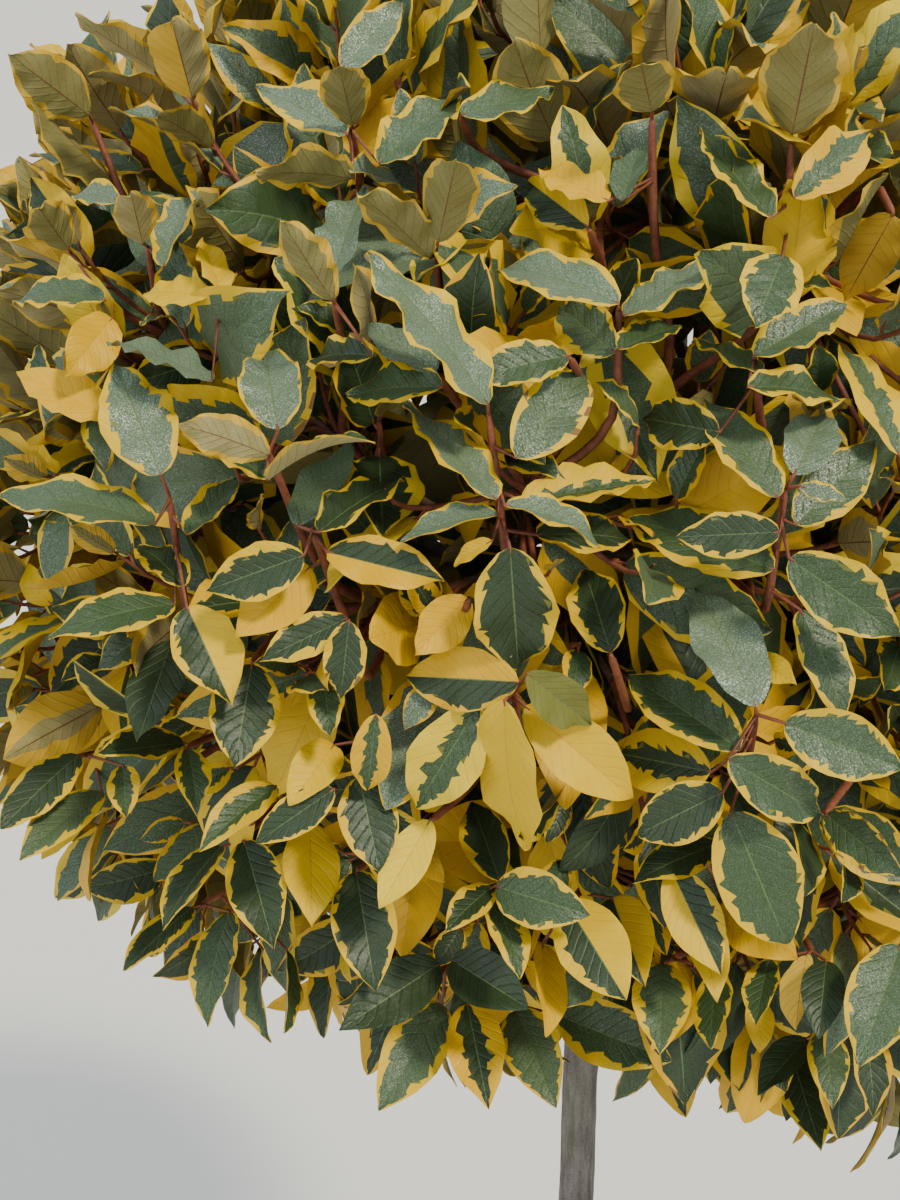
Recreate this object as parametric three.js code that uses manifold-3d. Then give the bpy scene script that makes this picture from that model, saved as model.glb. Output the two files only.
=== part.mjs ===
// Potted half standard elaeagnus: a dense, lightly clipped round head of variegated evergreen
// leaves on a clear stem, growing in compost in a plain plastic container.
//
// Millimetres, +Z up. The origin is the middle of the container's flat underside, and -Y is
// the side that is seen first. Every solid stands alone: neighbours that touch on the plant
// are SEAT_GAP apart.

import * as THREE from 'three';
import { mergeVertices } from 'three/addons/utils/BufferGeometryUtils.js';
import Module from 'manifold-3d';

const wasm = await Module();
wasm.setup();

// Driving dimensions

const SEAT_GAP = 0.3;

const POT_HEIGHT = 340;
const POT_BASE_RADIUS = 155;
const POT_TOP_RADIUS = 194;
const POT_WALL = 3;
const POT_FLOOR = 4;
const RIM_DEPTH = 46;          // height of the stiffening band under the lip
const RIM_STEP = 5;            // how far that band stands out from the wall
const LIP_WIDTH = 8;
const LIP_DEPTH = 6;
const POT_ROUNDING = 4;        // at the foot of the wall
const POT_SIDES = 36;

const COMPOST_TOP = 306;       // surface at the container's wall
const COMPOST_CROWNING = 6;    // how much higher it lies round the stem
const COMPOST_FLAT = 42;       // radius of the level patch under the stem's foot

const STEM_FOOT_Z = COMPOST_TOP + COMPOST_CROWNING + SEAT_GAP;
const STEM_TIP_Z = 1500;
const STEM_LEAN = new THREE.Vector2(11, 5);        // how far the tip stands off the foot
const STEM_SWAY = new THREE.Vector2(4, -3);        // a slow bend on the way up
const STEM_RADIUS_LOW = 16;
const STEM_RADIUS_FORK = 13;
const STEM_RADIUS_TIP = 5;
const FORK_Z = 1110;
const FLARE_RADIUS = 13;       // added at the foot by the root flare
const FLARE_HEIGHT = 34;
const FLARE_LOBES = 5;
const FLARE_LOBE_DEPTH = 0.12;
const FLARE_RINGS = [0, 10, 24, 46, 90];           // heights over the foot
const STEM_RINGS = 10;                             // above the flare
const STEM_SIDES = 12;

const HEAD_RADIUS = 446;
const HEAD_HEIGHT_RATIO = 0.975;
const HEAD_CENTRE = new THREE.Vector3(0, 0, 1430);
const GROOVE = 0.05;           // depth of the furrow between two masses, as a share of the radius
const GROOVE_SHARE = 0.36;     // share of the way to a mass's middle over which it fills up

const BOUGH_REACH = 0.42;      // where a bough ends, as a share of the head's radius
const BOUGH_THICKNESS = 0.6;   // of the stem's own radius where the bough leaves it
const BOUGH_TIP_RADIUS = 3.8;
const BOUGH_BEND_OUT = 0.36;   // place of the bend, as shares of the way out and up
const BOUGH_BEND_UP = 0.66;
const BOUGH_SWAY = 14;
const BOUGH_SIDES = 6;
const BOUGH_RINGS = 6;

const MASS_MIDDLE = 0.64;      // where a mass's middle lies, as a share of the head's radius
const MASS_INSET = 0.6;        // kept free along every face that two masses share
const LIMB_CLEARANCE = 1.0;
const CORE_MIDDLE = 0.63;      // a mass's core lies here, as a share of the head's radius
const CORE_HALF_DEPTH = 30;
const CORE_SPREAD = 0.66;      // how far it spreads sideways, as a share of its distance out
const CORE_ROUNDNESS = 0.6;    // 1 is a lens, 0 a slab with upright sides
const CORE_MARGIN = 6;
const KNEE = 14;               // a mass's stem runs straight on from its bough for this long

const TWIG_COUNT = 160;        // over the whole head, spread evenly
const TWIG_ROOT_RADIUS = 3.4;
const TWIG_TIP_RADIUS = 3.0;
const TWIG_END_DEPTH = 98;     // how far inside the outline a twig ends
const TWIG_JITTER = 0.035;

const LEAF_LENGTH = 108;
const LEAF_WIDTH_RATIO = 0.53;
const LEAF_WAIST = 0.46;       // the widest place, as a share of the length
const LEAF_THICKNESS = 2.6;
const LEAF_FOLD = 3.5;         // how far the two margins lift above the midrib
const LEAF_ROOT_DEPTH = 1.0;   // how far a leaf's root reaches past its twig's axis
const LEAF_TRIES = 12;         // turns tried for a leaf before it is skipped
const LEAVES_A_TWIG = 4;
const LEAF_TURN = THREE.MathUtils.degToRad(137.5);
const LEAF_SPACING = 21;
const LEAF_SPREAD = [22, 62, 74, 80];              // degrees off the twig, from its tip down
const LEAF_SPREAD_JITTER = 16;
const MOST_LEAVES_A_MASS = 30;

const SEED = 20261;

// The masses of foliage in rings round the head. Reach is each mass's own share of the
// radius, so that the outline swells and dips the way the clipped head does. Fork gives the
// lowest and highest place where the ring's boughs leave the stem.
const RINGS = [
  { name: 'top', elevation: 90, azimuth: 0, fork: [STEM_TIP_Z, STEM_TIP_Z], reach: [1] },
  { name: 'upper', elevation: 37, azimuth: -75, fork: [1312, 1384], reach: [0.99, 1, 1.02, 0.98, 1.01] },
  { name: 'middle', elevation: 0, azimuth: -96, fork: [1206, 1290], reach: [1, 1.01, 0.98, 1.02, 0.99, 1] },
  { name: 'lower', elevation: -41, azimuth: -36, fork: [1118, 1186], reach: [1.07, 0.98, 1, 1.02, 0.99] },
];

// Repeatable random numbers

function seededRandom(seed) {
  let state = seed >>> 0;
  return () => {
    state = (state + 0x6d2b79f5) >>> 0;
    let mixed = state;
    mixed = Math.imul(mixed ^ (mixed >>> 15), mixed | 1);
    mixed ^= mixed + Math.imul(mixed ^ (mixed >>> 7), mixed | 61);
    return ((mixed ^ (mixed >>> 14)) >>> 0) / 4294967296;
  };
}

// Directions and the head's outline

function direction(azimuthDegrees, elevationDegrees) {
  const azimuth = THREE.MathUtils.degToRad(azimuthDegrees);
  const elevation = THREE.MathUtils.degToRad(elevationDegrees);
  const level = Math.cos(elevation);
  return new THREE.Vector3(level * Math.cos(azimuth), level * Math.sin(azimuth), Math.sin(elevation));
}

function listMasses() {
  const masses = [];
  for (const ring of RINGS) {
    const count = ring.reach.length;
    ring.reach.forEach((reach, index) => {
      const toward = direction(ring.azimuth - (index * 360) / count, ring.elevation);
      const rank = count > 1 ? ((index * 2) % count) / (count - 1) : 0;
      masses.push({
        name: count > 1 ? `mass_${ring.name}_${index + 1}` : `mass_${ring.name}`,
        boughName: count > 1 ? `bough_${ring.name}_${index + 1}` : null,
        toward,
        reach,
        forkZ: THREE.MathUtils.lerp(ring.fork[0], ring.fork[1], rank),
      });
    });
  }
  for (const mass of masses) {
    mass.middle = HEAD_CENTRE.clone().addScaledVector(mass.toward, MASS_MIDDLE * plainRadius(mass.toward));
  }
  return masses;
}

// Radius of the head without its furrows: a ball that is a little flatter than it is wide.
function plainRadius(toward) {
  const level = Math.hypot(toward.x, toward.y) / HEAD_RADIUS;
  const upright = toward.z / (HEAD_RADIUS * HEAD_HEIGHT_RATIO);
  return 1 / Math.hypot(level, upright);
}

// Radius of the head in one direction: each mass swells by its reach, with furrows between.
function headRadius(toward, masses) {
  let near = Infinity;
  let second = Infinity;
  let reach = 1;
  let secondReach = 1;
  for (const mass of masses) {
    const angle = toward.angleTo(mass.toward);
    if (angle < near) {
      second = near;
      secondReach = reach;
      near = angle;
      reach = mass.reach;
    } else if (angle < second) {
      second = angle;
      secondReach = mass.reach;
    }
  }
  const inward = (second - near) / (second + near);
  const fill = THREE.MathUtils.smoothstep(inward, 0, GROOVE_SHARE);
  const swell = THREE.MathUtils.lerp((reach + secondReach) / 2, reach, fill);
  return plainRadius(toward) * swell * (1 - GROOVE * (1 - fill));
}

// How far inside the head's outline a point lies.
function depthInHead(point, masses) {
  const offset = point.clone().sub(HEAD_CENTRE);
  const distance = offset.length();
  return headRadius(offset.normalize(), masses) - distance;
}

// How far inside its own share of the head a point lies: half way to every other middle.
function depthInShare(point, mass, masses) {
  let depth = Infinity;
  for (const other of masses) {
    if (other !== mass) {
      const across = other.middle.clone().sub(mass.middle);
      const halfway = other.middle.clone().add(mass.middle).multiplyScalar(0.5);
      depth = Math.min(depth, halfway.sub(point).dot(across) / across.length());
    }
  }
  return depth;
}

// Limbs

function stemAxis(z) {
  const up = (z - STEM_FOOT_Z) / (STEM_TIP_Z - STEM_FOOT_Z);
  const sway = Math.sin(Math.PI * up);
  return new THREE.Vector3(
    STEM_LEAN.x * up + STEM_SWAY.x * sway,
    STEM_LEAN.y * up + STEM_SWAY.y * sway,
    z,
  );
}

function stemRadius(z) {
  if (z < FORK_Z) {
    const up = (z - STEM_FOOT_Z) / (FORK_Z - STEM_FOOT_Z);
    return THREE.MathUtils.lerp(STEM_RADIUS_LOW, STEM_RADIUS_FORK, up);
  }
  const up = (z - FORK_Z) / (STEM_TIP_Z - FORK_Z);
  return THREE.MathUtils.lerp(STEM_RADIUS_FORK, STEM_RADIUS_TIP, up);
}

function boughPath(mass, random) {
  const start = stemAxis(mass.forkZ);
  const end = HEAD_CENTRE.clone().addScaledVector(mass.toward, BOUGH_REACH * plainRadius(mass.toward));
  const bend = new THREE.Vector3(
    THREE.MathUtils.lerp(start.x, end.x, BOUGH_BEND_OUT) + BOUGH_SWAY * (random() - 0.5),
    THREE.MathUtils.lerp(start.y, end.y, BOUGH_BEND_OUT) + BOUGH_SWAY * (random() - 0.5),
    THREE.MathUtils.lerp(start.z, end.z, BOUGH_BEND_UP),
  );
  return new THREE.QuadraticBezierCurve3(start, bend, end);
}

// Closed meshes. A tapering limb is a stack of rings that turn with the path.

function geometryFrom(positions, triangles) {
  const geometry = new THREE.BufferGeometry();
  geometry.setAttribute('position', new THREE.Float32BufferAttribute(positions, 3));
  geometry.setIndex(triangles);
  return geometry;
}

// A direction square to a limb, level unless the limb is upright.
function squareTo(along) {
  const upright = Math.abs(along.z) > 0.92;
  const reference = upright ? new THREE.Vector3(1, 0, 0) : new THREE.Vector3(0, 0, 1);
  return new THREE.Vector3().crossVectors(reference, along).normalize();
}

function limbGeometry(points, radii, sides, shape = () => 1) {
  const positions = [];
  const triangles = [];
  const along = points.map((point, index) => {
    const before = points[Math.max(index - 1, 0)];
    const after = points[Math.min(index + 1, points.length - 1)];
    return after.clone().sub(before).normalize();
  });
  let side = squareTo(along[0]);
  points.forEach((point, index) => {
    side = side.addScaledVector(along[index], -side.dot(along[index])).normalize();
    const other = new THREE.Vector3().crossVectors(along[index], side);
    for (let step = 0; step < sides; step += 1) {
      const turn = (step / sides) * 2 * Math.PI;
      const radius = radii[index] * shape(turn, index);
      const corner = point.clone()
        .addScaledVector(side, radius * Math.cos(turn))
        .addScaledVector(other, radius * Math.sin(turn));
      positions.push(corner.x, corner.y, corner.z);
    }
  });
  for (let ring = 0; ring < points.length - 1; ring += 1) {
    for (let step = 0; step < sides; step += 1) {
      const a = ring * sides + step;
      const b = ring * sides + ((step + 1) % sides);
      triangles.push(a, b, b + sides, a, b + sides, a + sides);
    }
  }
  const last = (points.length - 1) * sides;
  for (let step = 1; step < sides - 1; step += 1) {
    triangles.push(0, step + 1, step, last, last + step, last + step + 1);
  }
  return geometryFrom(positions, triangles);
}

// A leaf of eight faces: root, tip and two margins round a midrib that is thickest half way.
function leafCorners(root, toward, across) {
  const face = new THREE.Vector3().crossVectors(toward, across);
  const halfWidth = (LEAF_LENGTH * LEAF_WIDTH_RATIO) / 2;
  const waist = root.clone().addScaledVector(toward, LEAF_LENGTH * LEAF_WAIST);
  return [
    root.clone().addScaledVector(toward, -LEAF_ROOT_DEPTH),
    root.clone().addScaledVector(toward, LEAF_LENGTH),
    waist.clone().addScaledVector(across, halfWidth).addScaledVector(face, LEAF_FOLD),
    waist.clone().addScaledVector(across, -halfWidth).addScaledVector(face, LEAF_FOLD),
    waist.clone().addScaledVector(face, LEAF_THICKNESS / 2),
    waist.clone().addScaledVector(face, -LEAF_THICKNESS / 2),
  ];
}

function leafGeometry(corners) {
  const positions = corners.flatMap((corner) => [corner.x, corner.y, corner.z]);
  const triangles = [
    0, 4, 2, 2, 4, 1, 0, 3, 4, 4, 3, 1,
    0, 2, 5, 5, 2, 1, 0, 5, 3, 5, 1, 3,
  ];
  return geometryFrom(positions, triangles);
}

// Joining and cutting

function toSolid(geometry) {
  const plain = geometry.clone();
  plain.deleteAttribute('normal');
  plain.deleteAttribute('uv');
  const merged = mergeVertices(plain, 1e-4);
  return new wasm.Manifold(new wasm.Mesh({
    numProp: 3,
    vertProperties: new Float32Array(merged.attributes.position.array),
    triVerts: new Uint32Array(merged.index.array),
  }));
}

function fromSolid(solid) {
  const mesh = solid.getMesh();
  return geometryFrom(Array.from(mesh.vertProperties), Array.from(mesh.triVerts));
}

// The one body that is left when loose scraps are dropped and sealed hollows are filled.
function mainBody(solid) {
  return solid.decompose().reduce((best, piece) => (piece.volume() > best.volume() ? piece : best));
}

// Materials

const MATERIALS = {
  pot: new THREE.MeshStandardMaterial({ color: 0x1d1f20, roughness: 0.62, metalness: 0 }),
  compost: new THREE.MeshStandardMaterial({ color: 0x3a2a1e, roughness: 0.97, metalness: 0 }),
  bark: new THREE.MeshStandardMaterial({ color: 0x6b6259, roughness: 0.9, metalness: 0 }),
  foliage: new THREE.MeshStandardMaterial({ color: 0x4d6140, roughness: 0.5, metalness: 0 }),
};

function named(name, geometry, material) {
  const mesh = new THREE.Mesh(geometry, material);
  mesh.name = name;
  return mesh;
}

// Container: a tapered wall, a stiffening band and a rolled lip, all one wall thick.

function potWallRadius(z) {
  return THREE.MathUtils.lerp(POT_BASE_RADIUS, POT_TOP_RADIUS, z / POT_HEIGHT);
}

function makePot() {
  const bandFoot = POT_HEIGHT - RIM_DEPTH;
  const bandRadius = potWallRadius(bandFoot) + RIM_STEP;
  const lipFoot = POT_HEIGHT - LIP_DEPTH;
  const topRadius = potWallRadius(POT_HEIGHT) + RIM_STEP;
  const profile = [
    [0, 0],
    [POT_BASE_RADIUS - POT_ROUNDING, 0],
    [POT_BASE_RADIUS, POT_ROUNDING],
    [potWallRadius(bandFoot), bandFoot],
    [bandRadius, bandFoot + RIM_STEP],
    [topRadius - 1, lipFoot],
    [topRadius + LIP_WIDTH, lipFoot],
    [topRadius + LIP_WIDTH, POT_HEIGHT - 1],
    [topRadius + LIP_WIDTH - 1, POT_HEIGHT],
    [topRadius - POT_WALL, POT_HEIGHT],
    [bandRadius - POT_WALL, bandFoot + RIM_STEP - 1],
    [potWallRadius(bandFoot) - POT_WALL, bandFoot - 1],
    [potWallRadius(POT_FLOOR) - POT_WALL, POT_FLOOR],
    [0, POT_FLOOR],
  ];
  const points = profile.map(([radius, z]) => new THREE.Vector2(radius, z));
  return named('pot', latheUpright(points, POT_SIDES), MATERIALS.pot);
}

function latheUpright(points, sides) {
  const geometry = new THREE.LatheGeometry(points, sides);
  geometry.rotateX(Math.PI / 2);
  return fromSolid(toSolid(geometry));
}

// Compost: fills the container to a little under the lip, and rises gently towards the stem.

function makeCompost() {
  const gap = SEAT_GAP / Math.cos(Math.PI / POT_SIDES);
  const innerRadius = (z) => potWallRadius(z) - POT_WALL - gap;
  const bandFoot = POT_HEIGHT - RIM_DEPTH;
  const topRadius = innerRadius(bandFoot) - 1;
  const middle = COMPOST_TOP + COMPOST_CROWNING;
  const profile = [
    [0, POT_FLOOR + SEAT_GAP],
    [innerRadius(POT_FLOOR) - 1, POT_FLOOR + SEAT_GAP],
    [topRadius, bandFoot - 2],
    [topRadius, COMPOST_TOP - 3],
    [topRadius - 7, COMPOST_TOP],
    [COMPOST_FLAT * 2, middle - 2],
    [COMPOST_FLAT, middle],
    [0, middle],
  ];
  const points = profile.map(([radius, z]) => new THREE.Vector2(radius, z));
  return named('compost', latheUpright(points, POT_SIDES), MATERIALS.compost);
}

// Stem: whole from its flat foot on the compost to its tip in the middle of the head.

function stemGeometry(extra) {
  const heights = FLARE_RINGS.map((above) => STEM_FOOT_Z + above);
  const flareTop = heights.at(-1);
  heights[0] -= extra;
  for (let ring = 1; ring <= STEM_RINGS; ring += 1) {
    heights.push(THREE.MathUtils.lerp(flareTop, STEM_TIP_Z + extra, ring / STEM_RINGS));
  }
  const flare = (z) => Math.exp(-(z - STEM_FOOT_Z) / FLARE_HEIGHT);
  const points = heights.map((z) => stemAxis(z));
  const radii = heights.map((z) => stemRadius(z) + FLARE_RADIUS * flare(z) + extra);
  const lobes = (turn, index) => (
    1 + FLARE_LOBE_DEPTH * flare(heights[index]) * Math.cos(FLARE_LOBES * turn)
  );
  return limbGeometry(points, radii, STEM_SIDES, lobes);
}

function makeStem() {
  const solid = toSolid(stemGeometry(0));
  const below = new THREE.BoxGeometry(POT_TOP_RADIUS, POT_TOP_RADIUS, POT_HEIGHT);
  below.translate(0, 0, STEM_FOOT_Z - POT_HEIGHT / 2);
  return named('trunk', fromSolid(solid.subtract(toSolid(below))), MATERIALS.bark);
}

// Boughs: each leaves the stem, rises and bends out, and ends where it enters its mass.

function boughPoints(mass) {
  return mass.bough.getPoints(BOUGH_RINGS - 1);
}

function boughRadii(mass) {
  const rootRadius = BOUGH_THICKNESS * stemRadius(mass.forkZ);
  return boughPoints(mass).map((point, ring) => (
    THREE.MathUtils.lerp(rootRadius, BOUGH_TIP_RADIUS, ring / (BOUGH_RINGS - 1))
  ));
}

function makeBough(mass, stemToCut) {
  const solid = toSolid(limbGeometry(boughPoints(mass), boughRadii(mass), BOUGH_SIDES));
  return named(mass.boughName, fromSolid(mainBody(solid.subtract(stemToCut))), MATERIALS.bark);
}

// Stem and boughs as one solid that is a little too thick, for keeping foliage clear of them.
function makeLimbRoom(masses) {
  const limbs = [toSolid(stemGeometry(LIMB_CLEARANCE))];
  for (const mass of masses) {
    if (mass.boughName) {
      const radii = boughRadii(mass).map((radius) => radius + LIMB_CLEARANCE);
      limbs.push(toSolid(limbGeometry(boughPoints(mass), radii, BOUGH_SIDES)));
    }
  }
  return wasm.Manifold.union(limbs);
}

// Foliage. The head's twigs are spread evenly over its surface, and each belongs to the mass
// whose direction is nearest. A mass is a core on its own stem, twigs that leave the core for
// their places, and leaves set round each twig's outer end.

function listTwigEnds(masses, random) {
  const golden = Math.PI * (3 - Math.sqrt(5));
  for (const mass of masses) {
    mass.twigEnds = [];
  }
  for (let index = 0; index < TWIG_COUNT; index += 1) {
    const z = 1 - (2 * (index + 0.5)) / TWIG_COUNT;
    const level = Math.sqrt(1 - z * z);
    const turn = index * golden;
    const toward = new THREE.Vector3(level * Math.cos(turn), level * Math.sin(turn), z);
    toward.x += TWIG_JITTER * (random() - 0.5);
    toward.y += TWIG_JITTER * (random() - 0.5);
    toward.normalize();
    const owner = masses.reduce((best, mass) => (
      mass.toward.angleTo(toward) < best.toward.angleTo(toward) ? mass : best
    ));
    const reach = headRadius(toward, masses) - TWIG_END_DEPTH;
    owner.twigEnds.push(HEAD_CENTRE.clone().addScaledVector(toward, reach));
  }
}

function massStemPoints(mass) {
  const tip = mass.boughName ? mass.bough.getPoint(1) : stemAxis(STEM_TIP_Z);
  const leaving = mass.boughName ? mass.bough.getTangent(1) : new THREE.Vector3(0, 0, 1);
  const start = tip.clone().addScaledVector(leaving, SEAT_GAP);
  const knee = tip.clone().addScaledVector(leaving, KNEE);
  return [start, knee, coreMiddle(mass)];
}

function coreMiddle(mass) {
  return HEAD_CENTRE.clone().addScaledVector(mass.toward, CORE_MIDDLE * plainRadius(mass.toward));
}

// A core is a thick pad that curves with the head and fills the middle of its mass's share.
function coreGeometry(mass, masses) {
  const geometry = new THREE.IcosahedronGeometry(1, 1);
  geometry.deleteAttribute('normal');
  geometry.deleteAttribute('uv');
  const merged = mergeVertices(geometry, 1e-4);
  const corners = merged.attributes.position;
  const corner = new THREE.Vector3();
  for (let index = 0; index < corners.count; index += 1) {
    corner.fromBufferAttribute(corners, index).normalize();
    const height = corner.dot(mass.toward);
    const outward = Math.sign(height) * Math.abs(height) ** CORE_ROUNDNESS;
    const sideways = corner.clone().addScaledVector(mass.toward, -height);
    sideways.multiplyScalar(sideways.length() ** (CORE_ROUNDNESS - 1) || 0);
    const placeAt = (spread) => {
      const toward = mass.toward.clone().addScaledVector(sideways, spread).normalize();
      const distance = CORE_MIDDLE * plainRadius(toward) + CORE_HALF_DEPTH * outward;
      return HEAD_CENTRE.clone().addScaledVector(toward, distance);
    };
    let spread = CORE_SPREAD;
    let point = placeAt(spread);
    while (depthInShare(point, mass, masses) < CORE_MARGIN) {
      spread -= 0.02;
      point = placeAt(spread);
    }
    corners.setXYZ(index, point.x, point.y, point.z);
  }
  return merged;
}

function inOwnSpace(point, mass, masses, margin) {
  return depthInShare(point, mass, masses) > MASS_INSET + margin && depthInHead(point, masses) > 0;
}

function crosses(solid, others) {
  return others.some((other) => !solid.intersect(other).isEmpty());
}

// Twigs that stay in their own space, each with two directions square to it for its leaves.
function listTwigs(mass, masses, limbRoom) {
  const middle = coreMiddle(mass);
  const twigs = [];
  for (const end of mass.twigEnds) {
    const along = end.clone().sub(middle).normalize();
    const side = squareTo(along);
    const other = new THREE.Vector3().crossVectors(along, side);
    const solid = toSolid(limbGeometry([middle, end], [TWIG_ROOT_RADIUS, TWIG_TIP_RADIUS], 3));
    if (inOwnSpace(end, mass, masses, TWIG_ROOT_RADIUS) && !crosses(solid, [limbRoom])) {
      twigs.push({ end, along, side, other, solid });
    }
  }
  return twigs;
}

function leafOn(twig, step, turn, spread) {
  const outward = twig.side.clone().multiplyScalar(Math.cos(turn));
  outward.addScaledVector(twig.other, Math.sin(turn));
  const toward = twig.along.clone().multiplyScalar(Math.cos(spread));
  toward.addScaledVector(outward, Math.sin(spread));
  const across = new THREE.Vector3().crossVectors(twig.along, toward).normalize();
  const root = twig.end.clone().addScaledVector(twig.along, -LEAF_SPACING * step - TWIG_TIP_RADIUS);
  return leafCorners(root, toward, across);
}

// The twigs get their end leaves first, then a second leaf each, and so on, until the mass is
// full. A leaf that would leave its space or cross anything is turned on round its twig.
function makeMass(mass, masses, limbRoom) {
  const random = seededRandom(SEED + 101 * masses.indexOf(mass));
  const stemRadii = [BOUGH_TIP_RADIUS, BOUGH_TIP_RADIUS, TWIG_ROOT_RADIUS];
  const stem = toSolid(limbGeometry(massStemPoints(mass), stemRadii, 3));
  const core = toSolid(coreGeometry(mass, masses));
  const twigs = listTwigs(mass, masses, limbRoom);
  const leaves = [];
  for (let step = 0; step < LEAVES_A_TWIG; step += 1) {
    for (const twig of twigs) {
      const otherTwigs = twigs.filter((one) => one !== twig).map((one) => one.solid);
      const firstTurn = 2 * Math.PI * random() + step * LEAF_TURN;
      for (let attempt = 0; attempt < LEAF_TRIES && leaves.length < MOST_LEAVES_A_MASS; attempt += 1) {
        const spread = THREE.MathUtils.degToRad(LEAF_SPREAD[step] + LEAF_SPREAD_JITTER * (random() - 0.5));
        const corners = leafOn(twig, step, firstTurn + attempt * LEAF_TURN, spread);
        if (corners.every((corner) => inOwnSpace(corner, mass, masses, 0))) {
          const leaf = toSolid(leafGeometry(corners));
          if (!crosses(leaf, [limbRoom, core, ...otherTwigs, ...leaves])) {
            leaves.push(leaf);
            break;
          }
        }
      }
    }
  }
  const pieces = [stem, core, ...twigs.map((twig) => twig.solid), ...leaves];
  return named(mass.name, fromSolid(mainBody(wasm.Manifold.union(pieces))), MATERIALS.foliage);
}

// The whole plant

const random = seededRandom(SEED);
const masses = listMasses();
for (const mass of masses) {
  mass.bough = boughPath(mass, random);
}
listTwigEnds(masses, random);

const stemToCut = toSolid(stemGeometry(SEAT_GAP));
const limbRoom = makeLimbRoom(masses);

const plant = new THREE.Group();
plant.add(makePot(), makeCompost(), makeStem());
for (const mass of masses) {
  if (mass.boughName) {
    plant.add(makeBough(mass, stemToCut));
  }
}
for (const mass of masses) {
  plant.add(makeMass(mass, masses, limbRoom));
}

export default plant;
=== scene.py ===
import math

import bpy
import numpy as np
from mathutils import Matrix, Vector, noise


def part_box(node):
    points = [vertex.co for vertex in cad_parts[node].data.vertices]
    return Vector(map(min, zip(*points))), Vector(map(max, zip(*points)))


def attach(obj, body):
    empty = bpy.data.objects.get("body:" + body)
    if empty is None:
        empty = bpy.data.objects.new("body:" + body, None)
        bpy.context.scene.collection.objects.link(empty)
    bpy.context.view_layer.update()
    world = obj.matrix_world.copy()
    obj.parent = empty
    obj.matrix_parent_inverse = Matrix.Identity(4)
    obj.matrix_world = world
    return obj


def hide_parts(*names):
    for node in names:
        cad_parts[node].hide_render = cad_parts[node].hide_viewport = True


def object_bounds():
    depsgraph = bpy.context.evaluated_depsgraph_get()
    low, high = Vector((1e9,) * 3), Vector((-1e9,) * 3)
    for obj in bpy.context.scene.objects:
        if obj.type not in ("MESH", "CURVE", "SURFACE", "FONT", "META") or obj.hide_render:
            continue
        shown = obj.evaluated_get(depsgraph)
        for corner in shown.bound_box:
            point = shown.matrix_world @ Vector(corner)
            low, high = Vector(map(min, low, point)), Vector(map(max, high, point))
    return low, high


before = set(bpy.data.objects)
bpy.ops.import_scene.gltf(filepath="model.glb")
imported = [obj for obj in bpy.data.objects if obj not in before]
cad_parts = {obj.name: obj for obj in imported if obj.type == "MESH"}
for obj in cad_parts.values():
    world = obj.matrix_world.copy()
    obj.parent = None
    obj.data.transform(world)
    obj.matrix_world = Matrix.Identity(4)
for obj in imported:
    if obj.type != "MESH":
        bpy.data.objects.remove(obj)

CAD_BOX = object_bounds()

# Sizes in metres. The limbs and the head repeat the named sizes of the part's own rule.

POT_HEIGHT = Vector(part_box("pot")[1]).z
POT_BASE_RADIUS = 0.155
POT_TOP_RADIUS = 0.194
POT_WALL = 0.003
POT_FLOOR = 0.004
RIM_DEPTH = 0.046
RIM_STEP = 0.005
LIP_WIDTH = 0.008
LIP_DEPTH = 0.006

COMPOST_TOP = 0.306
COMPOST_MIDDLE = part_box("compost")[1][2]

STEM_FOOT_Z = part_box("trunk")[0][2]
STEM_TIP_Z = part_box("trunk")[1][2]
STEM_LEAN = (0.011, 0.005)
STEM_SWAY = (0.004, -0.003)
STEM_RADIUS_LOW = 0.016
STEM_RADIUS_FORK = 0.013
STEM_RADIUS_TIP = 0.005
FORK_Z = 1.110
FLARE_RADIUS = 0.013
FLARE_HEIGHT = 0.034
FLARE_LOBES = 5
FLARE_LOBE_DEPTH = 0.12

HEAD_RADIUS = 0.446
HEAD_HEIGHT_RATIO = 0.975
HEAD_CENTRE = np.array([0.0, 0.0, 1.430])
GROOVE = 0.05
GROOVE_SHARE = 0.36

BOUGH_REACH = 0.42
BOUGH_THICKNESS = 0.6
BOUGH_TIP_RADIUS = 0.0038
BOUGH_BEND_OUT = 0.36
BOUGH_BEND_UP = 0.66
BOUGH_SWAY = 0.014

CORE_MIDDLE = 0.63
TWIG_COUNT = 160
TWIG_END_DEPTH = 0.098
TWIG_JITTER = 0.035
KNEE = 0.014
SEED = 20261

RINGS = (
    {"name": "top", "elevation": 90, "azimuth": 0, "fork": (STEM_TIP_Z, STEM_TIP_Z), "reach": (1,)},
    {"name": "upper", "elevation": 37, "azimuth": -75, "fork": (1.312, 1.384),
     "reach": (0.99, 1, 1.02, 0.98, 1.01)},
    {"name": "middle", "elevation": 0, "azimuth": -96, "fork": (1.206, 1.290),
     "reach": (1, 1.01, 0.98, 1.02, 0.99, 1)},
    {"name": "lower", "elevation": -41, "azimuth": -36, "fork": (1.118, 1.186),
     "reach": (1.07, 0.98, 1, 1.02, 0.99)},
)

# Finer growth, carried on from the source's twigs within the same reach.

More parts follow.
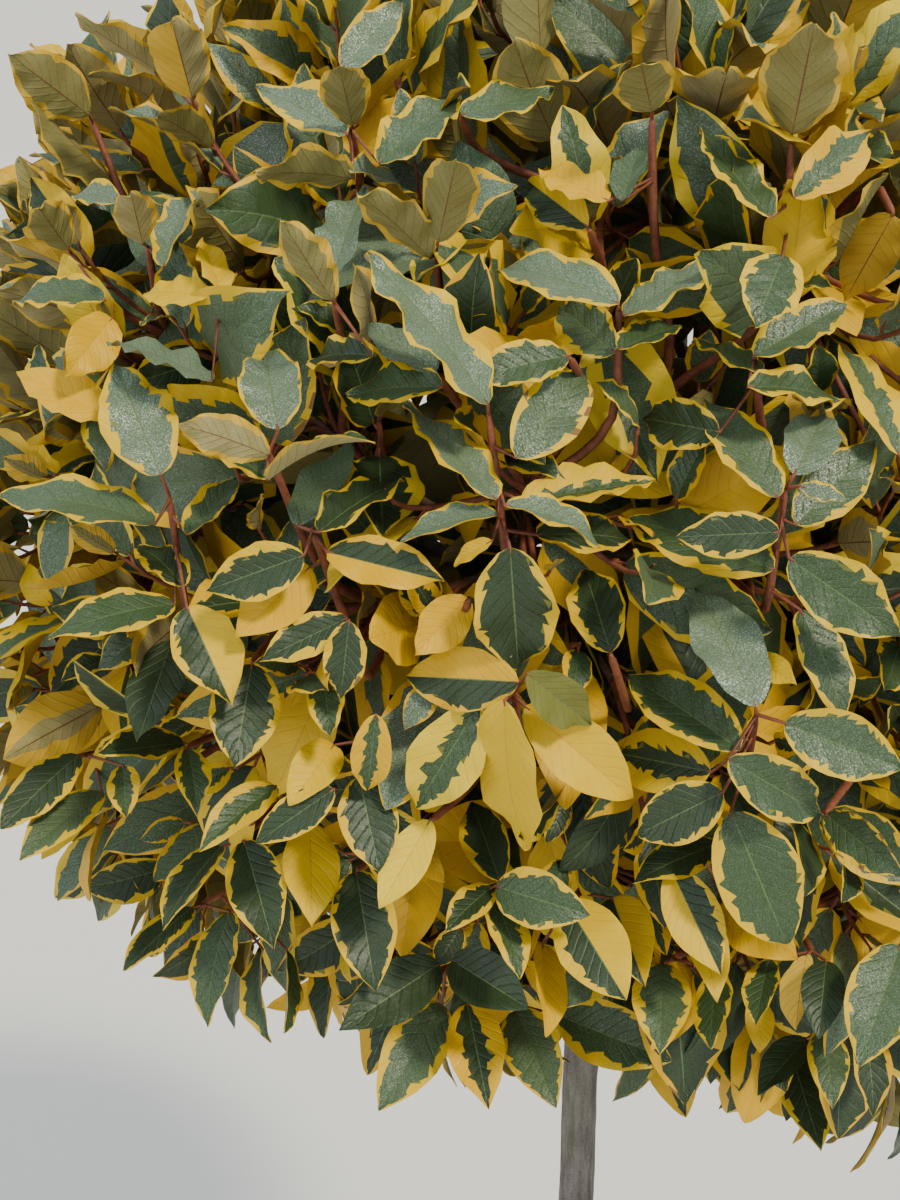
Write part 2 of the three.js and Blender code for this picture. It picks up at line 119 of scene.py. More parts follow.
LATERAL_POINTS = 7
LATERAL_RADII = (0.0030, 0.0020)
LATERAL_SWAY = 0.006
LATERAL_SAG = 0.006
SHOOT_COUNT = 960
SHOOT_POINTS = 10
SHOOT_RADII = (0.0020, 0.0012)
SHOOT_SCATTER = 0.022  # how unevenly shoots are spread over the head
SHOOT_WOBBLE = 0.22  # how much the aim of their tips varies
SHOOT_LIFT = (0.45, 1.35)  # how strongly tips turn up, low and high on the head
SHOOT_HANG = 0.9  # the share of that lift that the lowest shoots lose
SHOOT_FORKS = (0.25, 0.9)  # the shares of a twig between which a shoot leaves it
SHOOT_BEND = (0.35, 0.42)  # the shares of its run along its twig and along its tip's aim
SHOOT_DEPTH = 0.050  # how far inside the outline a shoot's tip lies at first
DEPTH_RANGE = (0.006, 0.200)
REACH_BEYOND = 0.005  # how far leaves reach past the outline, more or less
REACH_SPREAD = 0.010
INNER_EVERY = 5  # every so many shoots one stays further in, behind the others
INNER_DEPTH = 0.050
INMOST_EVERY = 11
INMOST_DEPTH = 0.100
LEADING_RADII = (0.0026, 0.0018)
BUD_SHARE = 0.45  # what a shoot keeps of its thickness at its bud
LEAF_TURN = math.radians(137.5)
LEAF_LENGTH = 0.080
LONGEST_LEAF = 0.086
LEAF_WIDTH_RATIO = 0.56
STALK_LENGTH = 0.009
STALK_RADII = (0.0012, 0.0009, 0.00045)
STALK_INTO_LEAF = 0.003
TIP_SHARE = 0.97  # the share of a leaf's length at which its tip counts
DEPTH_SHARE = 0.7  # and at which its depth in the head does
FINE_DEPTH = 0.075  # leaves deeper in the head than this are plainer
FRONT = (-0.06, -1.0, 0.0)  # the side of the head that the photograph shows
FRONT_SHARE = 0.30  # leaves that look at least this much to the front are the finest
PROUD = 0.022  # how far a leaf's tip may stand out of the outline
FOLIAGE_SHARE = 0.03  # what foliage may add to each side of the box
FOLIAGE_MARGIN = 0.010
BOX_CLEARANCE = 0.007
BOX_WEIGHT = 2  # a tip past the box counts this much more than one past the outline

# Heights on the head run from -1 to 1. Each pair is where a change begins and the height it takes.

LIFTED_ABOVE = (-0.35, 1.0)
LIMP_BELOW = (-0.30, 0.5)
ERECT_ABOVE = (-0.05, 0.5)
HANGING_BELOW = (0.22, 0.75)
TURNED_BELOW = (0.40, 0.9)
CRISP_ABOVE = (-0.45, 0.9)

# Where the photograph shows the leafy outline swell or draw in: direction, metres and width in degrees.
SWELLS = (
    ((-0.76, -0.50, -0.41), 0.030, 14),
    ((-0.77, -0.36, 0.53), 0.012, 9),
    ((-0.62, -0.30, 0.72), -0.020, 9),
    ((-0.33, -0.53, -0.785), -0.016, 8),
    ((0.17, -0.51, -0.845), -0.050, 8),
    ((0.42, -0.57, -0.71), 0.036, 9),
)

GOLDEN = math.pi * (3 - math.sqrt(5))
UP = np.array([0.0, 0.0, 1.0])
LEVEL = np.array([1.0, 0.0, 0.0])
STEEP_PATH = 0.92  # a path or shoot steeper than this is turned from the level direction
STEEP_SHOOT = 0.95

CAMERA_PLACE = (0.0, -1.049, 1.589)
CAMERA_PITCH = 13.6  # degrees down
CAMERA_YAW = 5.2  # degrees to the left
CAMERA_LENS = 43.5
SENSOR_HEIGHT = 36
PHOTO_WIDTH = 900
PHOTO_HEIGHT = 1200


# Repeatable random numbers, the same as the source draws

def seeded_random(seed):
    mask = 0xFFFFFFFF
    state = [seed & mask]

    def draw():
        state[0] = (state[0] + 0x6D2B79F5) & mask
        mixed = state[0]
        mixed = ((mixed ^ (mixed >> 15)) * (mixed | 1)) & mask
        mixed ^= (mixed + ((mixed ^ (mixed >> 7)) * (mixed | 61) & mask)) & mask
        return (mixed ^ (mixed >> 14)) / 4294967296

    return draw


# Vectors in rows

def unit(rows):
    return rows / np.maximum(np.linalg.norm(rows, axis=-1, keepdims=True), 1e-12)


def dot(a, b):
    return np.sum(a * b, axis=-1, keepdims=True)


def mix(a, b, share):
    return a + (b - a) * share


def smooth(share):
    share = np.clip(share, 0, 1)
    return share * share * (3 - 2 * share)


def above(height, start, span):
    return smooth((height - start) / span)


def below(height, start, span):
    return smooth((start - height) / span)


def directions(azimuth, elevation):
    azimuth = np.radians(azimuth)
    elevation = np.radians(elevation)
    level = np.cos(elevation)
    return np.array([level * np.cos(azimuth), level * np.sin(azimuth), np.sin(elevation)])


# Masses and the head's outline

def list_masses():
    masses = []
    for ring in RINGS:
        count = len(ring["reach"])
        for index, reach in enumerate(ring["reach"]):
            rank = (index * 2 % count) / (count - 1) if count > 1 else 0
            suffix = f"_{index + 1}" if count > 1 else ""
            masses.append({
                "name": f"mass_{ring['name']}{suffix}",
                "bough": f"bough_{ring['name']}{suffix}" if count > 1 else None,
                "toward": directions(ring["azimuth"] - index * 360 / count, ring["elevation"]),
                "reach": reach,
                "fork_z": mix(*ring["fork"], rank),
            })
    return masses


MASSES = list_masses()
MASS_TOWARD = np.array([mass["toward"] for mass in MASSES])
MASS_REACH = np.array([mass["reach"] for mass in MASSES])


def plain_radius(toward):
    level = np.hypot(toward[..., 0], toward[..., 1]) / HEAD_RADIUS
    upright = toward[..., 2] / (HEAD_RADIUS * HEAD_HEIGHT_RATIO)
    return 1 / np.hypot(level, upright)


def head_radius(toward, groove=GROOVE):
    angle = np.arccos(np.clip(toward @ MASS_TOWARD.T, -1, 1))
    order = np.argsort(angle, axis=1)[:, :2]
    near, second = np.take_along_axis(angle, order, axis=1).T
    reach, second_reach = MASS_REACH[order].T
    fill = smooth((second - near) / (second + near) / GROOVE_SHARE)
    swell = mix((reach + second_reach) / 2, reach, fill)
    return plain_radius(toward) * swell * (1 - groove * (1 - fill))


def depth_in_head(points):
    """How far points lie inside the leafy outline, in which fine growth half fills the grooves."""
    offset = points - HEAD_CENTRE
    return head_radius(unit(offset), GROOVE / 2) - np.linalg.norm(offset, axis=1)


def outline_swell(toward):
    """How far the leafy outline stands out, or in, in each direction."""
    swell = np.zeros(len(toward))
    for direction, rise, width in SWELLS:
        angle = np.arccos(np.clip(toward @ unit(np.array(direction)), -1, 1))
        swell += rise * np.exp(-(angle / math.radians(width)) ** 2 / 2)
    return swell


# Limbs

def stem_axis(z):
    up = (z - STEM_FOOT_Z) / (STEM_TIP_Z - STEM_FOOT_Z)
    sway = np.sin(np.pi * up)
    return np.stack([STEM_LEAN[0] * up + STEM_SWAY[0] * sway, STEM_LEAN[1] * up + STEM_SWAY[1] * sway, z],
                    axis=-1)


def stem_radius(z):
    low = mix(STEM_RADIUS_LOW, STEM_RADIUS_FORK, (z - STEM_FOOT_Z) / (FORK_Z - STEM_FOOT_Z))
    high = mix(STEM_RADIUS_FORK, STEM_RADIUS_TIP, (z - FORK_Z) / (STEM_TIP_Z - FORK_Z))
    return np.where(z < FORK_Z, low, high)


def bough_corners(mass, draw):
    start = stem_axis(np.float64(mass["fork_z"]))
    end = HEAD_CENTRE + mass["toward"] * BOUGH_REACH * plain_radius(mass["toward"])
    bend = np.array([
        mix(start[0], end[0], BOUGH_BEND_OUT) + BOUGH_SWAY * (draw() - 0.5),
        mix(start[1], end[1], BOUGH_BEND_OUT) + BOUGH_SWAY * (draw() - 0.5),
        mix(start[2], end[2], BOUGH_BEND_UP),
    ])
    return np.array([start, bend, end])


def even_directions(count):
    index = np.arange(count)
    z = 1 - 2 * (index + 0.5) / count
    level = np.sqrt(1 - z * z)
    return np.stack([level * np.cos(index * GOLDEN), level * np.sin(index * GOLDEN), z], axis=1)


def grow_skeleton():
    """Each mass gets its bough, its stem's end and the ends of its twigs, as in the source."""
    draw = seeded_random(SEED)
    for mass in MASSES:
        mass["corners"] = bough_corners(mass, draw)
        mass["middle"] = HEAD_CENTRE + mass["toward"] * CORE_MIDDLE * plain_radius(mass["toward"])
        mass["ends"] = []
    toward = even_directions(TWIG_COUNT)
    for row in toward:
        row[0] += TWIG_JITTER * (draw() - 0.5)
        row[1] += TWIG_JITTER * (draw() - 0.5)
    toward = unit(toward)
    reach = head_radius(toward) - TWIG_END_DEPTH
    owners = np.argmax(toward @ MASS_TOWARD.T, axis=1)
    for row, distance, owner in zip(toward, reach, owners):
        MASSES[owner]["ends"].append(HEAD_CENTRE + row * distance)


grow_skeleton()
RANDOM = np.random.default_rng(SEED)


# Meshes from arrays

def mesh_piece(name, points, faces, materials, coats=None, uvs=None):
    """A piece from vertex rows and lists of equal-sided face arrays."""
    mesh = bpy.data.meshes.new(name)
    loops = np.concatenate([face.ravel() for face in faces]).astype(np.int32)
    totals = np.concatenate([np.full(len(face), face.shape[1]) for face in faces])
    starts = np.concatenate([[0], np.cumsum(totals)[:-1]]).astype(np.int32)
    mesh.vertices.add(len(points))
    mesh.loops.add(len(loops))
    mesh.polygons.add(len(totals))
    mesh.vertices.foreach_set("co", np.asarray(points, dtype=np.float32).ravel())
    mesh.loops.foreach_set("vertex_index", loops)
    mesh.polygons.foreach_set("loop_start", starts)
    mesh.polygons.foreach_set("use_smooth", np.ones(len(totals), dtype=bool))
    for material in materials:
        mesh.materials.append(material)
    if coats is not None:
        mesh.polygons.foreach_set("material_index", np.asarray(coats, dtype=np.int32))
    mesh.update(calc_edges=True)
    if uvs is not None:
        layer = mesh.uv_layers.new(name="blade")
        layer.data.foreach_set("uv", uvs[loops].astype(np.float32).ravel())
    mesh.validate()
    piece = bpy.data.objects.new(name, mesh)
    bpy.context.scene.collection.objects.link(piece)
    return piece


def sharpen(piece, flags):
    """Edges whose two ends are both flagged shade as sharp."""
    edges = np.empty(len(piece.data.edges) * 2, dtype=np.int32)
    piece.data.edges.foreach_get("vertices", edges)
    both = flags[edges.reshape(-1, 2)].all(axis=1)
    attribute = piece.data.attributes.new("sharp_edge", "BOOLEAN", "EDGE")
    attribute.data.foreach_set("value", both)


def frames_along(points):
    """Tangents and two square directions that turn as little as they can along a path."""
    tangents = unit(np.gradient(points, axis=0))
    reference = LEVEL if abs(tangents[0][2]) > STEEP_PATH else UP
    side = unit(np.cross(reference, tangents[0]))
    sides = []
    for tangent in tangents:
        side = unit(side - tangent * (side @ tangent))
        sides.append(side)
    sides = np.array(sides)
    return tangents, sides, np.cross(tangents, sides)


def ring_faces(count, sides):
    """The quads between closed rings of points and the triangles that close both ends to a hub."""
    ring = np.arange(count - 1)[:, None] * sides
    step = np.arange(sides)[None]
    after = (step + 1) % sides
    quads = np.stack([ring + step, ring + after, ring + after + sides, ring + step + sides], axis=-1)
    hub = count * sides
    low = np.stack([np.full(sides, hub), after[0], step[0]], axis=-1)
    last = (count - 1) * sides
    high = np.stack([np.full(sides, hub + 1), last + step[0], last + after[0]], axis=-1)
    return quads.reshape(-1, 4), np.concatenate([low, high])


def tube(points, radii, sides):
    """Rings of one closed tube: radii has a row for each point and a column for each side."""
    _, side, other = frames_along(points)
    turn = np.arange(sides) * 2 * np.pi / sides
    radii = np.broadcast_to(radii, (len(points), sides))
    rings = (points[:, None] + side[:, None] * (radii * np.cos(turn))[..., None]
             + other[:, None] * (radii * np.sin(turn))[..., None])
    corners = np.concatenate([rings.reshape(-1, 3), points[:1], points[-1:]])
    return corners, *ring_faces(len(points), sides)


def join_tubes(tubes):
    points = []
    quads = []
    tris = []
    offset = 0
    for corners, quad, tri in tubes:
        points.append(corners)
        quads.append(quad + offset)
        tris.append(tri + offset)
        offset += len(corners)
    return np.concatenate(points), [np.concatenate(quads), np.concatenate(tris)]


# Shader nodes as expressions

class Wire:
    """A socket that can be added, multiplied and so on, each sum being a Math node."""

    def __init__(self, board, socket):
        self.board = board
        self.socket = socket

    def math(self, operation, *others):
        return self.board.node("ShaderNodeMath", {"operation": operation}, self, *others)

    def __add__(self, other):
        return self.math("ADD", other)

    def __mul__(self, other):
        return self.math("MULTIPLY", other)

    def __sub__(self, other):
        return self.math("SUBTRACT", other)

    def __pow__(self, other):
        return self.math("POWER", other)

    def __rsub__(self, other):
        return self * -1 + other

    __radd__ = __add__
    __rmul__ = __mul__


def set_stops(ramp, stops):
    while len(ramp.elements) < len(stops):
        ramp.elements.new(1)
    for element, (place, shade) in zip(ramp.elements, stops):
        element.position = place
        element.color = (*shade, 1)


class Board:
    """The nodes of one material."""

    def __init__(self, name):
        self.material = bpy.data.materials.new(name)
        self.material.use_nodes = True
        self.tree = self.material.node_tree
        self.shader = self.tree.nodes["Principled BSDF"]

    def node(self, kind, settings=(), *values, output=0, **named):
        """Makes a node: first its settings, or a ramp's stops, then the values or links of its sockets."""
        made = self.tree.nodes.new(kind)
        for key, value in dict(settings).items():
            if key == "stops":
                set_stops(made.color_ramp, value)
            else:
                setattr(made, key, value)
        for key, value in [*enumerate(values), *named.items()]:
            self.put(made.inputs[key.replace("_", " ") if isinstance(key, str) else key], value)
        return Wire(self, made.outputs[output])

    def put(self, socket, value):
        if isinstance(value, Wire):
            self.tree.links.new(value.socket, socket)
        else:
            socket.default_value = (*value, 1) if socket.type == "RGBA" else value

    def ramp(self, factor, stops):
        return self.node("ShaderNodeValToRGB", {"stops": stops}, factor)

    def blend(self, factor, first, second):
        return self.node("ShaderNodeMix", {"data_type": "RGBA"}, Factor=factor, A=first, B=second,
                         output="Result")

    def place(self):
        return self.node("ShaderNodeTexCoord", output="Object")

    def blade(self):
        """Along and across a leaf, across being 0 at the midrib and 1 at the margins."""
        uv = self.node("ShaderNodeUVMap", {"uv_map": "blade"})
        along, across = (self.node("ShaderNodeSeparateXYZ", (), uv, output=axis) for axis in (0, 1))
        return along, (across * 2 - 1).math("ABSOLUTE")

    def noise(self, scale, detail, roughness, place=None):
        return self.node("ShaderNodeTexNoise", Vector=place or self.place(), Scale=scale,
                         Detail=detail, Roughness=roughness)

    def bump(self, height, depth):
        return self.node("ShaderNodeBump", Height=height, Distance=depth)

    def finish(self, **inputs):
        for key, value in inputs.items():
            self.put(self.shader.inputs[key.replace("_", " ")], value)
        return self.material


def colour(red, green, blue):
    """A colour as a screen shows it, from 0 to 255, made linear."""
    parts = [part / 255 for part in (red, green, blue)]
    return tuple(part / 12.92 if part <= 0.04045 else ((part + 0.055) / 1.055) ** 2.4 for part in parts)


# Leaf colours. A plain base colour for each zone, dealt out by spray.

VEINS_A_LEAF = 9.0
VEIN_RISE = 2.2
VEIN_WANDER = 0.9
SCALES_A_METRE = 1400
LEAF_RELIEF = 0.0005


def leaf_coat(name, base, roughness, scales, down, veins):
    """A leathery leaf: veins and puckers stand in relief, and silver scales glint on it."""
    board = Board(name)
    along, across = board.blade()
    wander = board.noise(55, 1.0, 0.5)
    rise = along * VEINS_A_LEAF - across * VEIN_RISE + wander * VEIN_WANDER
    vein = ((rise.math("FRACT") - 0.5).math("ABSOLUTE") * 2) ** 6
    pucker = board.noise(170, 3.0, 0.55)
    grain = board.noise(SCALES_A_METRE, 2.0, 0.6)
    fleck = ((grain - 0.53) * 14).math("MAXIMUM", 0).math("MINIMUM", 1)
    return board.finish(
        Base_Color=base,
        Roughness=pucker * 0.16 + roughness,
        Normal=board.bump(vein * veins + pucker + grain * 0.2, LEAF_RELIEF),
        Specular_IOR_Level=0.3,
        Sheen_Weight=down,
        Sheen_Roughness=0.5,
        Coat_Weight=fleck * scales,
        Coat_Roughness=0.5,
        Coat_IOR=3.0,
    )


TINTS = ("deep", "mid", "grey", "silver", "lime")
YELLOW_TINTS = ("gold", "butter", "cream")
BACKS = ("olive", "tan")

# Each finish: colour, roughness, silver scales and down, and how far its veins stand up or in.
LEAF_FINISHES = {
    "green_deep": (colour(42, 58, 32), 0.34, 0.10, 0, -0.6),
    "green_mid": (colour(54, 74, 41), 0.38, 0.24, 0, -0.6),
    "green_grey": (colour(66, 86, 54), 0.44, 0.42, 0.02, -0.6),
    "green_silver": (colour(86, 105, 76), 0.50, 0.75, 0.05, -0.6),
    "green_lime": (colour(104, 105, 40), 0.40, 0.10, 0, -0.4),
    "yellow_gold": (colour(204, 158, 3), 0.42, 0.03, 0, -0.35),
    "yellow_butter": (colour(206, 167, 9), 0.44, 0.04, 0, -0.35),
    "yellow_cream": (colour(212, 180, 32), 0.48, 0.08, 0, -0.35),
    "rib_green": (colour(84, 102, 58), 0.42, 0.10, 0, -0.6),
    "rib_yellow": (colour(194, 148, 26), 0.46, 0, 0, -0.6),
    "back_olive": (colour(124, 117, 65), 0.62, 0.20, 0, 0.6),
    "back_tan": (colour(146, 135, 85), 0.64, 0.30, 0.05, 0.6),
    # The back of a yellow zone: its own paler yellow, made brighter as a painted glow that stands in for
    # light shining through the blade.
    "back_yellow_and_painted_glow": (colour(200, 160, 46), 0.60, 0.12, 0, 0.6),
    "rib_back": (colour(104, 64, 42), 0.60, 0, 0, -0.6),
    "edge_dry": (colour(124, 92, 50), 0.70, 0, 0, -0.6),
}
LEAF_COATS = [leaf_coat(name, *finish) for name, finish in LEAF_FINISHES.items()]
COAT = {name: index for index, name in enumerate(LEAF_FINISHES)}
GREEN_COATS = np.array([COAT["green_" + name] for name in TINTS])
YELLOW_COATS = np.array([COAT["yellow_" + name] for name in YELLOW_TINTS])
BACK_COATS = np.array([COAT["back_" + name] for name in BACKS])


# Shoots

def along_path(path, share):
    """The point at a share of a path's steps."""
    place = share * (len(path) - 1)
    step = int(place)
    return mix(path[step], path[step + 1], place - step)


def plan_shoots(laterals):
    """Where each shoot leaves the twig of its mass that ends nearest to it, and how its tip stands."""
    toward = even_directions(SHOOT_COUNT)
    toward = unit(toward + RANDOM.normal(0, SHOOT_SCATTER, toward.shape))
    owners = np.argmax(toward @ MASS_TOWARD.T, axis=1)
    tips = HEAD_CENTRE + toward * (head_radius(toward) - SHOOT_DEPTH)[:, None]
    height = toward[:, 2:]
    lift = mix(*SHOOT_LIFT, above(height, *LIFTED_ABOVE)) * (1 - below(height, *LIMP_BELOW) * SHOOT_HANG)
    starts = np.empty_like(tips)
    heading = np.empty_like(tips)
    for index, owner in enumerate(owners):
        twigs = laterals["paths"][laterals["owner"] == owner]
        twig = twigs[np.argmin(np.linalg.norm(twigs[:, -1] - tips[index], axis=1))]
        starts[index] = along_path(twig, RANDOM.uniform(*SHOOT_FORKS))
        heading[index] = unit(twig[-1] - twig[0])
    return {
        "toward": toward,
        "owner": owners,
        "depth": np.full(SHOOT_COUNT, SHOOT_DEPTH),
        "starts": starts,
        "heading": heading,
        "aim": unit(toward + UP * lift + RANDOM.normal(0, SHOOT_WOBBLE, toward.shape)),
    }


def bend_shoots(shoots):
    """The path of each shoot, along its twig at first and then as its tip stands."""
    reach = head_radius(shoots["toward"], GROOVE / 2) - shoots["depth"]
    tips = HEAD_CENTRE + shoots["toward"] * reach[:, None]
    starts = shoots["starts"]
    span = np.linalg.norm(tips - starts, axis=1, keepdims=True)
    onward, back = SHOOT_BEND
    corners = (starts, starts + shoots["heading"] * span * onward, tips - shoots["aim"] * span * back, tips)
    shoots["paths"] = np.stack([cubic(corners, share) for share in np.linspace(0, 1, SHOOT_POINTS)], axis=1)


def grow_laterals():
    """The source's twigs, from the middle of each mass to their ends."""
    laterals = {"toward": [], "owner": [], "paths": []}
    for owner, mass in enumerate(MASSES):
        for end in mass["ends"]:
            bow = mix(mass["middle"], end, 0.5) + RANDOM.normal(0, LATERAL_SWAY, 3) - UP * LATERAL_SAG
            laterals["paths"].append(bezier_path([mass["middle"], bow, end], LATERAL_POINTS))
            laterals["toward"].append(unit(end - HEAD_CENTRE))
            laterals["owner"].append(owner)
    return {key: np.array(value) for key, value in laterals.items()}


def cubic(corners, share):
    rest = 1 - share
    first, second, third, last = corners
    return (rest ** 3 * first + 3 * rest ** 2 * share * second + 3 * rest * share ** 2 * third
            + share ** 3 * last)


def back_along(paths, distance):
    """Points and tangents at a distance back from the tip of each path."""
    backwards = paths[:, ::-1]
    steps = np.linalg.norm(np.diff(backwards, axis=1), axis=2)
    lengths = np.concatenate([np.zeros((len(paths), 1)), np.cumsum(steps, axis=1)], axis=1)
    distance = np.minimum(distance, lengths[:, -1] * 0.98)
    index = np.clip((lengths < distance[:, None]).sum(axis=1) - 1, 0, paths.shape[1] - 2)
    rows = np.arange(len(paths))
    share = ((distance - lengths[rows, index]) / steps[rows, index])[:, None]
    near = backwards[rows, index]
    far = backwards[rows, index + 1]
    return mix(near, far, share), unit(near - far)


YOUNG = {"leaves": 8, "first": 0.0015, "spacing": (0.0080, 0.0125), "age": 0}
OLD = {"leaves": 11, "first": 0.003, "spacing": (0.008, 0.012), "age": 6}
WIDENING = 0.10  # how much the spacing grows from leaf to leaf
LEAF_SPREAD = (20, 66)  # degrees off the shoot, of the youngest leaf and of an open one
OPEN_AGE = 4.2  # which leaf from the tip is open
ERECT_SPREAD = 0.44  # the share of that spread on the erect shoots of the top
LEAF_DROOP = (0.04, 0.62)  # how far leaves hang, high and low on the head
YOUNG_DROOP = 0.55
DROOP_A_LEAF = 0.09
LEAF_TURNED = (0.02, 0.78)  # how far leaves face the light, high and low on the head
YOUNG_LENGTH = 0.36  # the length of the youngest leaf, of a full-grown one's
FULL_GROWN_AGE = 2.4
YOUNG_STALK = 0.5
LONG_STALK_AGE = 3
YELLOW_SHARES = (0.5, 0.4, 0.1)
BACK_SHARES = (0.6, 0.4)
SILVER = (0.36, 0.50, 0.24)  # how silvery a spray is at mid height, how much more at the top, how it varies
BRIGHT = (0.22, -0.16, 0.15)  # and how yellow
VARIES = {"turn": 0.16, "spread": 0.14, "droop": 0.05, "length": 0.10, "vigour": 0.08}


def by_height(height, middle, gain, varies):
    return middle + gain * height + RANDOM.normal(0, varies, len(height))


def list_leaves(stems, habit):
    """One row for each leaf: how far from its stem's tip it stands and how it leaves it."""
    count = len(stems["owner"])
    height = stems["toward"][:, 2]
    erect = above(height, *ERECT_ABOVE)
    hanging = below(height, *HANGING_BELOW)
    first_turn = RANDOM.uniform(0, 2 * np.pi, count)
    spacing = RANDOM.uniform(*habit["spacing"], count)
    vigour = RANDOM.normal(1, VARIES["vigour"], count)
    shared = {
        "toward": stems["toward"],
        "owner": stems["owner"],
        "stem": np.arange(count),
        "silver": np.clip(by_height(height, *SILVER), 0, 0.999),
        "yellow": RANDOM.choice(len(YELLOW_SHARES), count, p=YELLOW_SHARES),
        "back": RANDOM.choice(len(BACK_SHARES), count, p=BACK_SHARES),
        "bright": np.clip(by_height(height, *BRIGHT), 0.02, 0.8),
        "turned": mix(*LEAF_TURNED, below(height, *TURNED_BELOW)),
    }
    rows = []
    for step in range(habit["leaves"]):
        age = step + habit["age"]
        opened = np.radians(mix(*LEAF_SPREAD, smooth(np.float64(age / OPEN_AGE))))
        grown = mix(YOUNG_LENGTH, 1.0, smooth(np.float64((age + 0.25) / FULL_GROWN_AGE)))
        rows.append({
            **shared,
            "step": np.full(count, age),
            "back_from_tip": habit["first"] + spacing * (step + WIDENING * step * step),
            "turn": first_turn + step * LEAF_TURN + RANDOM.normal(0, VARIES["turn"], count),
            "spread": opened * mix(1, ERECT_SPREAD, erect) + RANDOM.normal(0, VARIES["spread"], count),
            "droop": (mix(*LEAF_DROOP, hanging) * (YOUNG_DROOP + DROOP_A_LEAF * age)
                      + RANDOM.normal(0, VARIES["droop"], count)),
            "length": np.minimum(LEAF_LENGTH * grown * vigour * RANDOM.normal(1, VARIES["length"], count),
                                 LONGEST_LEAF),
            "stalk": np.full(count, STALK_LENGTH * mix(YOUNG_STALK, 1, min(age / LONG_STALK_AGE, 1))),
        })
    return join_rows(rows)


def join_rows(rows):
    return {key: np.concatenate([row[key] for row in rows]) for key in rows[0]}


def take(rows, chosen):
    return {key: value[chosen] for key, value in rows.items()}


def point_along(leaves, share):
    """The point at a share of each leaf's length."""
    return leaves["root"] + leaves["aim"] * leaves["length"][:, None] * share


def place_leaves(leaves, paths):
    leaves["place"], leaves["tangent"] = back_along(paths[leaves["stem"]], leaves["back_from_tip"])
    orient(leaves)


FITTING_ROUNDS = 2
LIGHT_FROM_ABOVE = 0.4  # how much of a leaf's light comes from above
STALK_LEAN = 0.6  # how much a stalk leans out from the shoot


def fit_outline(leaves, shoots):
    """Slides each shoot in or out until its furthest leaf reaches the outline."""
    for _ in range(FITTING_ROUNDS):
        bend_shoots(shoots)
        place_leaves(leaves, shoots["paths"])
        furthest = np.full(len(shoots["depth"]), -1.0)
        np.maximum.at(furthest, leaves["stem"], -depth_in_head(point_along(leaves, TIP_SHARE)))
        if "goal" not in shoots:
            number = np.arange(len(furthest))
            inner = INNER_DEPTH * (number % INNER_EVERY == 0)
            inmost = INMOST_DEPTH * (number % INMOST_EVERY == 0)
            shoots["goal"] = (REACH_BEYOND + RANDOM.normal(0, REACH_SPREAD, len(furthest))
                              + outline_swell(shoots["toward"]) - inner - inmost)
        shoots["depth"] = np.clip(shoots["depth"] + furthest - shoots["goal"], *DEPTH_RANGE)
    bend_shoots(shoots)
    place_leaves(leaves, shoots["paths"])


def orient(leaves):
    """Works out where each leaf points, which way its upper side looks and where its blade starts."""
    tangent = leaves["tangent"]
    upright = np.abs(tangent[:, 2:]) > STEEP_SHOOT
    side = unit(np.cross(np.where(upright, LEVEL, UP), tangent))
    other = np.cross(tangent, side)
    turn = leaves["turn"][:, None]
    spread = leaves["spread"][:, None]
    outward = side * np.cos(turn) + other * np.sin(turn)
    aim = tangent * np.cos(spread) + outward * np.sin(spread)
    aim = unit(aim - UP * leaves["droop"][:, None])
    face = unit(tangent - aim * dot(tangent, aim))
    light = unit(leaves["toward"] + UP * LIGHT_FROM_ABOVE)
    face = mix(face, light, leaves["turned"][:, None])
    leaves["aim"] = aim
    leaves["face"] = unit(face - aim * dot(face, aim))
    leaves["root"] = leaves["place"] + unit(outward * STALK_LEAN + aim) * leaves["stalk"][:, None]


def spare_room():
    """The corners that no leaf's tip may pass."""
    low, high = np.round(np.array(CAD_BOX), 4)
    room = (high - low) * FOLIAGE_SHARE + FOLIAGE_MARGIN - BOX_CLEARANCE
    return low - room, high + room


def overreach(leaves):
    """How far each leaf's tip stands beyond the outline, or the box, which counts for more."""
    low, high = spare_room()
    tip = point_along(leaves, TIP_SHARE)
    beyond_box = np.maximum(np.maximum(low - tip, tip - high), 0).max(axis=1)
    proud = PROUD + outline_swell(unit(tip - HEAD_CENTRE))
    return np.maximum(np.maximum(-depth_in_head(tip) - proud, 0), beyond_box * BOX_WEIGHT)


BATCH = 400  # how many points are compared with all others at a time
BLADE_OVAL = 0.21  # a blade counts as an oval, and this is its half size squared
BLADE_LINES = ((0, 0, 0.97), (0.3, 0.18, 0.8), (-0.3, 0.18, 0.8))  # across, from and to
BLADE_SPOTS = ((0.05, 0), (0.3, 0.3), (0.3, -0.3), (0.5, 0), (0.7, 0.3), (0.7, -0.3), (0.95, 0))
BLADE_REACH = 1.05  # how many leaves apart blades, and blades and stems, are compared
STEM_REACH = 0.75
OWN_STEM_GAP = 0.02  # how near its stalk a leaf may lie across its own stem


def near_pairs(first, second, distance):
    """Index pairs of points of the two sets that lie within a distance."""
    pairs = []
    first = first.astype(np.float32)
    second = second.astype(np.float32)
    for start in range(0, len(first), BATCH):
        rows = first[start:start + BATCH]
        gap = (rows ** 2).sum(1)[:, None] + (second ** 2).sum(1)[None] - 2 * rows @ second.T
        i, j = np.nonzero(gap < distance ** 2)
        pairs.append(np.stack([i + start, j], axis=1))
    return np.concatenate(pairs)


